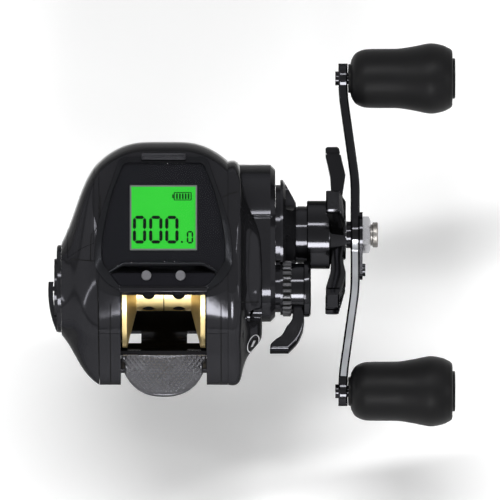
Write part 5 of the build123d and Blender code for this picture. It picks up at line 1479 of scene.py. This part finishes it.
@dataclass
class HandleArm:
    """The cranked arm: a flat bar with a hub, a boss at each end, chamfered edges and one brushed half.

    Attributes:
        reach: The distance from the drive axis to each knob's axis.
        start: Where the arm's inner face lies at the hub.
        thickness: Its thickness.
        crank: How far its ends lie nearer to the reel.
        bend_from: Where the crank starts, along the arm.
        bend_to: Where the crank ends.
        soften: How far each bend is drawn out.
        bar_half: Half the bar's width.
        boss_radius: The radius of its round ends.
        hub_radius: The radius at its middle.
        edge: The width of its chamfers.
        edge_share: The chamfers' widest share of half the width.
        trim_along: Where the brushed faces start and end along the arm.
        trim_proud: How far they stand proud.
        trim_sunk: How far they reach into the arm.
        trim_gap: The gap between them and the chamfers.
        nut_cap: The profile of the cap on the nut, as pairs of (across, radius).
        bend_samples: The places that the running mean of a bend takes.
        bar_points: The sections from the hub to a knob's axis.
        end_points: The sections round an end.
        trim_points: The sections along the brushed faces.
    """

    reach: float = 49.0
    start: float = 58.4
    thickness: float = 2.85
    crank: float = 3.8
    bend_from: float = 17.0
    bend_to: float = 44.0
    soften: float = 3.5
    bar_half: float = 4.2
    boss_radius: float = 4.7
    hub_radius: float = 6.4
    edge: float = 0.5
    edge_share: float = 0.45
    trim_along: Pair = (-44.2, -1.5)
    trim_proud: float = 0.03
    trim_sunk: float = 0.1
    trim_gap: float = 0.05
    nut_cap: tuple[Pair, ...] = ((64.6, 0.0), (64.6, 3.3), (65.2, 3.35), (65.3, 3.75), (65.5, 3.95),
                                 (66.75, 3.95), (66.95, 3.8), (67.0, 3.5), (67.0, 0.0))
    bend_samples: int = 15
    bar_points: int = 150
    end_points: int = 14
    trim_points: int = 110

    def inner_face(self, along: Array) -> Array:
        """Return where the inner face lies: straight runs joined by bends drawn out by a running mean.

        Args:
            along: Places along the arm.

        Returns:
            The inner face's place across the reel at each.
        """
        spread = np.linspace(-self.soften, self.soften, self.bend_samples)
        at = np.abs(along)[:, None] + spread
        return np.interp(at, (self.bend_from, self.bend_to),
                         (self.start, self.start - self.crank)).mean(axis=1)

    def half_width(self, along: Array) -> Array:
        """Return half the width: the widest of the bar, the hub's circle and the end's circle.

        Args:
            along: Places along the arm.

        Returns:
            Half the width at each.
        """
        far = np.abs(along)
        hub = np.sqrt(np.clip(self.hub_radius**2 - far**2, 0.0, None))
        boss = np.sqrt(np.clip(self.boss_radius**2 - (far - self.reach) ** 2, 0.0, None))
        bar = np.where(far <= self.reach, self.bar_half, 0.0)
        return np.maximum(np.maximum(hub, boss), bar)

    def section(self, along: Array) -> Array:
        """Return the chamfered section at each place along, eight points round.

        Args:
            along: Places along the arm.

        Returns:
            The sections' points, one section a row.
        """
        low = self.inner_face(along)
        high = low + self.thickness
        half = self.half_width(along)
        edge = np.minimum(self.edge, self.edge_share * half)
        across = (low + edge, high - edge, high, high, high - edge, low + edge, low, low)
        side = (-half, -half, edge - half, half - edge, half, half, half - edge, edge - half)
        return arm_points(np.stack(across, 1), along[:, None], np.stack(side, 1))

    def build(self) -> None:
        """Make the arm, the brushed faces on its lower half, and the cap on its nut."""
        limit = self.reach + self.boss_radius
        turn = np.linspace(0.0, math.pi / 2, self.end_points)
        end = self.reach + self.boss_radius * np.sin(turn)
        half = np.concatenate((np.linspace(0.0, self.reach, self.bar_points, endpoint=False), end))
        along = np.concatenate((-half[:0:-1], half))
        along[0], along[-1] = -limit, limit
        make_piece("handle_arm_body", [Sheet(self.section(along))], BLACK_METAL, "handle", ["handle_arm"],
                   smooth_angle=28.0)
        self.make_trim()
        make_piece("handle_nut_cap", [turned(self.nut_cap, DRIVE_AXIS)], NUT_STEEL, "handle", ["nut_cap"],
                   smooth_angle=24.0)

    def make_trim(self) -> None:
        """Make the brushed strips that face up and down on the lower half of the arm."""
        along = np.linspace(*self.trim_along, self.trim_points)
        low = self.inner_face(along) + self.edge + self.trim_gap
        high = low + self.thickness - 2 * (self.edge + self.trim_gap)
        half = self.half_width(along)
        sheets = []
        for way in (-1.0, 1.0):
            inner, outer = way * (half - self.trim_sunk), way * (half + self.trim_proud)
            across = np.stack((low, high, high, low), 1)
            side = np.stack((inner, inner, outer, outer), 1)
            sheets.append(Sheet(arm_points(across, along[:, None], side), cap_first=True, cap_last=True))
        make_piece("handle_arm_brushed_edges", sheets, BRUSHED, "handle")


@dataclass
class Knob:
    """One of the handle's two knobs: a soft grip that swells towards its end, and its end cap.

    Attributes:
        name: The knob's body and node.
        way: 1 on the upper end of the arm, -1 on the lower.
        start: Where the grip starts across the reel.
        length: The grip's length.
        radius: The grip's radius at its waist.
        reach: The distance from the drive axis to the knob's axis.
        swell: The grip's outline, as shares of its length and radius.
        collar: The collar's outline, as pairs of (distance past the start, radius).
        rim: The rim's outline, as pairs of (distance past the end, radius).
        cap: The end cap's outline, the same way.
        corners: How much the collar, the rim and the cap are rounded.
        round_points: The points round the grip.
    """

    name: str
    way: float
    start: float = 58.4
    length: float = 31.9
    radius: float = 9.3
    reach: float = 49.0
    swell: tuple[Pair, ...] = ((0.0, 0.52), (0.012, 0.66), (0.05, 0.85), (0.12, 0.965), (0.2, 0.995),
                               (0.34, 1.0), (0.48, 1.01), (0.62, 1.085), (0.78, 1.185), (0.9, 1.125),
                               (0.975, 1.01))
    collar: tuple[Pair, ...] = ((-0.75, 2.95), (-0.75, 4.5), (0.2, 4.6))
    rim: tuple[Pair, ...] = ((0.0, 8.7), (0.0, 6.5), (-1.35, 6.5), (-1.35, 2.95))
    cap: tuple[Pair, ...] = ((-1.3, 0.0), (-1.3, 6.35), (0.88, 6.35), (0.88, 4.6), (0.35, 4.1), (0.35, 2.3),
                             (0.6, 2.1), (0.6, 0.0))
    corners: Triple = (0.3, 0.45, 0.4)
    round_points: int = 128

    def centre(self) -> Pair:
        """Return the knob's axis as (forward, up) from the spool's axis."""
        return (DRIVE_AXIS[0] + self.way * self.reach * math.cos(ARM_DIRECTION),
                DRIVE_AXIS[1] + self.way * self.reach * math.sin(ARM_DIRECTION))

    def grip_profile(self) -> Array:
        """Return the grip's outline, from the bore at its collar to the bore at its end.

        Returns:
            The profile's points, as (across, radius).
        """
        begin, end = np.array((self.start, 0.0)), np.array((self.start + self.length, 0.0))
        swell = begin + smooth_line(np.array(self.swell)) * (self.length, self.radius)
        collar = np.concatenate((begin + self.collar, [(self.start + self.collar[-1][0], swell[0, 1])]))
        rim = np.concatenate((swell[-1:], end + self.rim))
        return np.concatenate((rounded(collar, self.corners[0], closed=False)[:-1], swell,
                               rounded(rim, self.corners[1], closed=False)[1:]))

    def cap_profile(self) -> Array:
        """Return the end cap's outline: a rounded rim with a shallow dish and a raised middle."""
        return rounded(np.array(self.cap) + (self.start + self.length, 0.0), self.corners[2], closed=False)

    def build(self) -> None:
        """Make the grip and its cap."""
        grip = turned(self.grip_profile(), self.centre(), self.round_points, closed=True)
        cap = turned(self.cap_profile(), self.centre())
        make_piece(f"{self.name}_grip", [grip], RUBBER, self.name, [self.name],
                   smooth_angle=50.0)
        make_piece(f"{self.name}_end_cap", [cap], RUBBER, self.name, [f"{self.name}_cap"],
                   smooth_angle=50.0)


# Studio


BACKGROUND_RAYS = ("Is Camera Ray", "Is Glossy Ray", "Is Transmission Ray")


def largest(nodes: bpy.types.Nodes, links: bpy.types.NodeLinks,
            values: Sequence[bpy.types.NodeSocket]) -> bpy.types.NodeSocket:
    """Return a socket that gives the largest of the values.

    Args:
        nodes: The nodes to add to.
        links: The links to add to.
        values: The sockets to compare.

    Returns:
        The socket with the largest value.
    """
    top = values[0]
    for value in values[1:]:
        pick = nodes.new("ShaderNodeMath")
        pick.operation = "MAXIMUM"
        links.new(top, pick.inputs[0])
        links.new(value, pick.inputs[1])
        top = pick.outputs["Value"]
    return top


@dataclass(frozen=True)
class Softbox:
    """A soft rectangular lamp.

    Attributes:
        name: The lamp's name.
        place: Where it stands, in metres.
        width: Its width in metres.
        depth: Its other side in metres.
        power: Its power in watts.
        aim: Where it points: the reel's middle.
    """

    name: str
    place: Triple
    width: float
    depth: float
    power: float
    aim: Triple = (0.026, 0.0, 0.02)

    def build(self) -> None:
        """Make the lamp."""
        data = bpy.data.lights.new(self.name, "AREA")
        data.shape = "RECTANGLE"
        data.size, data.size_y = self.width, self.depth
        data.energy = self.power
        lamp = bpy.data.objects.new(self.name, data)
        lamp.location = self.place
        lamp.rotation_euler = (Vector(self.aim) - Vector(self.place)).to_track_quat("-Z", "Y").to_euler()
        bpy.context.scene.collection.objects.link(lamp)


@dataclass
class Studio:
    """The floor, the backdrop's white, the lamps and the camera.

    Attributes:
        floor_height: The floor's height in metres, clear under the lower knob.
        floor_side: The floor's side in metres.
        floor_colour: The floor's colour as it lights the reel.
        floor_white: The floor's colour to the camera, mirrors and glass, at which its light is white.
        fade_from: The distance from which the floor grows whiter to the camera.
        fade_to: The distance at which it is all white.
        floor_rough: The floor's roughness.
        mottle_scale: How fine its mottle is.
        mottle_low: How dark the mottle goes.
        world_level: How strongly the surroundings light the reel.
        ceiling_level: How white the ceiling is to mirrors and glass.
        ceiling_heights: Between which heights of a ray's direction the white falls off.
        lamps: A long lamp overhead, a box in front and narrow ones at the sides, for crisp highlights.
        camera_distance: How far the camera stands from the spool.
        picture_width: What the picture's 500 pixels span at the spool, in millimetres.
        picture_centre: The picture's centre, as (across, up the picture) from the spool's axis.
        sensor: The camera's sensor width in millimetres.
        clip: The nearest and farthest distance that it sees, in metres.
    """

    floor_height: float = -0.052
    floor_side: float = 6.0
    floor_colour: float = 0.85
    floor_white: float = 1.12
    fade_from: float = 0.4
    fade_to: float = 1.6
    floor_rough: float = 0.9
    mottle_scale: float = 3.0
    mottle_low: float = 0.98
    world_level: float = 0.13
    ceiling_level: float = 0.5
    ceiling_heights: Pair = (0.35, 0.9)
    lamps: tuple[Softbox, ...] = (Softbox("overhead_lamp", (0.0, 0.1, 0.95), 0.9, 0.1, 6.6),
                                  Softbox("front_lamp", (0.02, -0.9, 0.46), 0.16, 0.27, 5.2),
                                  Softbox("left_lamp", (-0.8, -0.35, 0.4), 0.05, 0.7, 1.5),
                                  Softbox("right_lamp", (0.85, -0.25, 0.5), 0.05, 0.7, 1.8))
    camera_distance: float = 4.0
    picture_width: float = 156.25
    picture_centre: Pair = (26.9, 12.1)
    sensor: float = 36.0
    clip: Pair = (0.1, 20.0)

    def build(self) -> None:
        """Make the whole studio."""
        self.make_floor()
        self.make_world()
        for lamp in self.lamps:
            lamp.build()
        self.make_camera()
        scene = bpy.context.scene
        scene.view_settings.view_transform = "Standard"

    def make_floor(self) -> None:
        """Make the floor: pale, with a faint mottle, and white to the camera outside the reel's shadow.

        The light that the camera alone sees grows in a straight line from 0 at one distance to 1 at another.
        """
        half = self.floor_side / 2
        mesh = bpy.data.meshes.new("studio_floor")
        mesh.from_pydata([(x, y, self.floor_height) for x, y in box(-half, half, -half, half)], [],
                         [(0, 1, 2, 3)])
        floor = bpy.data.objects.new("studio_floor", mesh)
        bpy.context.scene.collection.objects.link(floor)
        material, nodes, links = new_material("studio_floor")
        shader = nodes["Principled BSDF"]
        place = add(nodes, "TexCoord")
        mottle = add(nodes, "TexNoise", Scale=self.mottle_scale)
        tones = add(nodes, "MapRange", To_Min=self.mottle_low, To_Max=1.0)
        path = add(nodes, "LightPath")
        white = add(nodes, "MapRange", To_Min=self.floor_colour, To_Max=self.floor_white)
        colour = nodes.new("ShaderNodeMath")
        colour.operation = "MULTIPLY"
        distance = nodes.new("ShaderNodeVectorMath")
        distance.operation = "LENGTH"
        far = add(nodes, "MapRange", From_Min=self.fade_from, From_Max=self.fade_to)
        seen = nodes.new("ShaderNodeMath")
        seen.operation = "MULTIPLY"
        links.new(largest(nodes, links, [path.outputs[name] for name in BACKGROUND_RAYS]),
                  white.inputs["Value"])
        links.new(tones.outputs["Result"], colour.inputs[0])
        links.new(white.outputs["Result"], colour.inputs[1])
        links.new(place.outputs["Object"], distance.inputs[0])
        links.new(far.outputs["Result"], seen.inputs[0])
        links.new(path.outputs[BACKGROUND_RAYS[0]], seen.inputs[1])
        wire(links, (place, "Object", mottle, "Vector"), (mottle, "Fac", tones, "Value"),
             (colour, "Value", shader, "Base Color"), (distance, "Value", far, "Value"),
             (seen, "Value", shader, "Emission Strength"))
        put(shader, Emission_Color=(1.0, 1.0, 1.0, 1.0), Roughness=self.floor_rough, Specular_IOR_Level=0.0)
        mesh.materials.append(material)

    def make_world(self) -> None:
        """Make the surroundings: white to the camera, to mirrors and to glass, and a softer level as light.

        To mirrors and glass the white falls off towards the ceiling: the level is 1 up to one height of the
        ray's direction, and goes in a straight line down to the ceiling's level at another.
        """
        world = bpy.data.worlds.new("studio")
        bpy.context.scene.world = world
        world.use_nodes = True
        nodes, links = world.node_tree.nodes, world.node_tree.links
        ground = nodes["Background"]
        put(ground, Color=(1.0, 1.0, 1.0, 1.0))
        direction = add(nodes, "TexCoord")
        parts = add(nodes, "SeparateXYZ")
        mirrored_level = add(nodes, "MapRange", From_Min=self.ceiling_heights[0],
                             From_Max=self.ceiling_heights[1], To_Min=1.0, To_Max=self.ceiling_level)
        path = add(nodes, "LightPath")
        reflected = add(nodes, "MapRange", To_Min=self.world_level)
        level = add(nodes, "MapRange", To_Max=1.0)
        mirrors = largest(nodes, links, [path.outputs[name] for name in BACKGROUND_RAYS[1:]])
        links.new(mirrors, reflected.inputs["Value"])
        wire(links, (direction, "Generated", parts, "Vector"), (parts, "Z", mirrored_level, "Value"),
             (mirrored_level, "Result", reflected, "To Max"), (path, BACKGROUND_RAYS[0], level, "Value"),
             (reflected, "Result", level, "To Min"), (level, "Result", ground, "Strength"))

    def make_camera(self) -> None:
        """Set the camera on the photograph's line of sight, with a long lens.

        The picture's centre is a place in the plane through the spool's axis that faces the camera. The
        focal length is the sensor's width times the distance over the width that the picture spans.
        """
        across, up_picture = self.picture_centre
        aim = Vector(reel_points(across, up_picture * SIGHT[2], -up_picture * SIGHT[1]))
        back = Vector(SIGHT)
        data = bpy.data.cameras.new("camera")
        data.sensor_width = self.sensor
        data.lens = data.sensor_width * self.camera_distance / (self.picture_width * MM)
        data.clip_start, data.clip_end = self.clip
        camera = bpy.data.objects.new("camera", data)
        camera.location = aim + back * self.camera_distance
        camera.rotation_euler = (-back).to_track_quat("-Z", "Y").to_euler()
        bpy.context.scene.collection.objects.link(camera)
        bpy.context.scene.camera = camera


ASSEMBLIES = (DisplayHead(), PushButton("power_button", -5.3), PushButton("set_button", 5.3), ThumbBar(),
              Spool(), Seams(), GearCover(), CastControl(), StarDrag(), HandleArm(), Knob("knob_a", 1.0),
              Knob("knob_b", -1.0))


# Frame nodes whose shapes are right, with their finishes

NODE_FINISHES: dict[str, Coating] = {
    "frame": BLACK, "reel_foot": STEEL, "body_screws": BLACK_METAL, "palm_side_cover": BLACK,
    "battery_seal": RUBBER, "coin_cell": STEEL, "counter_hood": BLACK, "circuit_board": BOARD,
    "board_parts": CHARCOAL, "gear_side_cover": BLACK, "gear_cover_cap": BLACK, "ball_bearings": STEEL,
    "anti_reverse_bearing": STEEL, "yoke_springs": STEEL, "guide_rod": STEEL, "worm_bushes": CHARCOAL,
    "battery_door": BLACK, "clutch_yoke": BRASS, "pinion_gear": BRASS, "spool": GOLD, "spool_shaft": STEEL,
    "spool_pin": STEEL, "spool_magnets": BRIGHT, "cast_control_shim": BRASS, "brake_dial": BLACK,
    "magnet_holder": CHARCOAL, "brake_magnets": BRIGHT, "drive_shaft": STEEL, "drive_gear": BRASS,
    "drag_washers": CARBON, "pressure_plate": STEEL, "drive_sleeve": STEEL, "drag_springs": STEEL,
    "level_wind_cog": CHARCOAL, "handle_spacer": BLACK_METAL, "retainer_plate": BLACK_METAL,
    "handle_screws": BLACK_METAL, "handle_nut": BRIGHT, "knob_posts": BLACK_METAL, "knob_bushes": BRASS,
    "worm_shaft": STEEL, "worm_gear": CHARCOAL, "line_guide": CHARCOAL, "guide_insert": PANEL,
}


def dress_nodes() -> None:
    """Give each frame node that stays in view its finish."""
    for name, finish in NODE_FINISHES.items():
        dress(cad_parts[name], finish)


def main() -> None:
    """Build every sub-assembly in order, then the studio."""
    logging.basicConfig(level=logging.INFO, format="%(name)s: %(message)s")
    dress_nodes()
    for assembly in ASSEMBLIES:
        assembly.build()
    Studio().build()


if __name__ == "__main__":
    main()
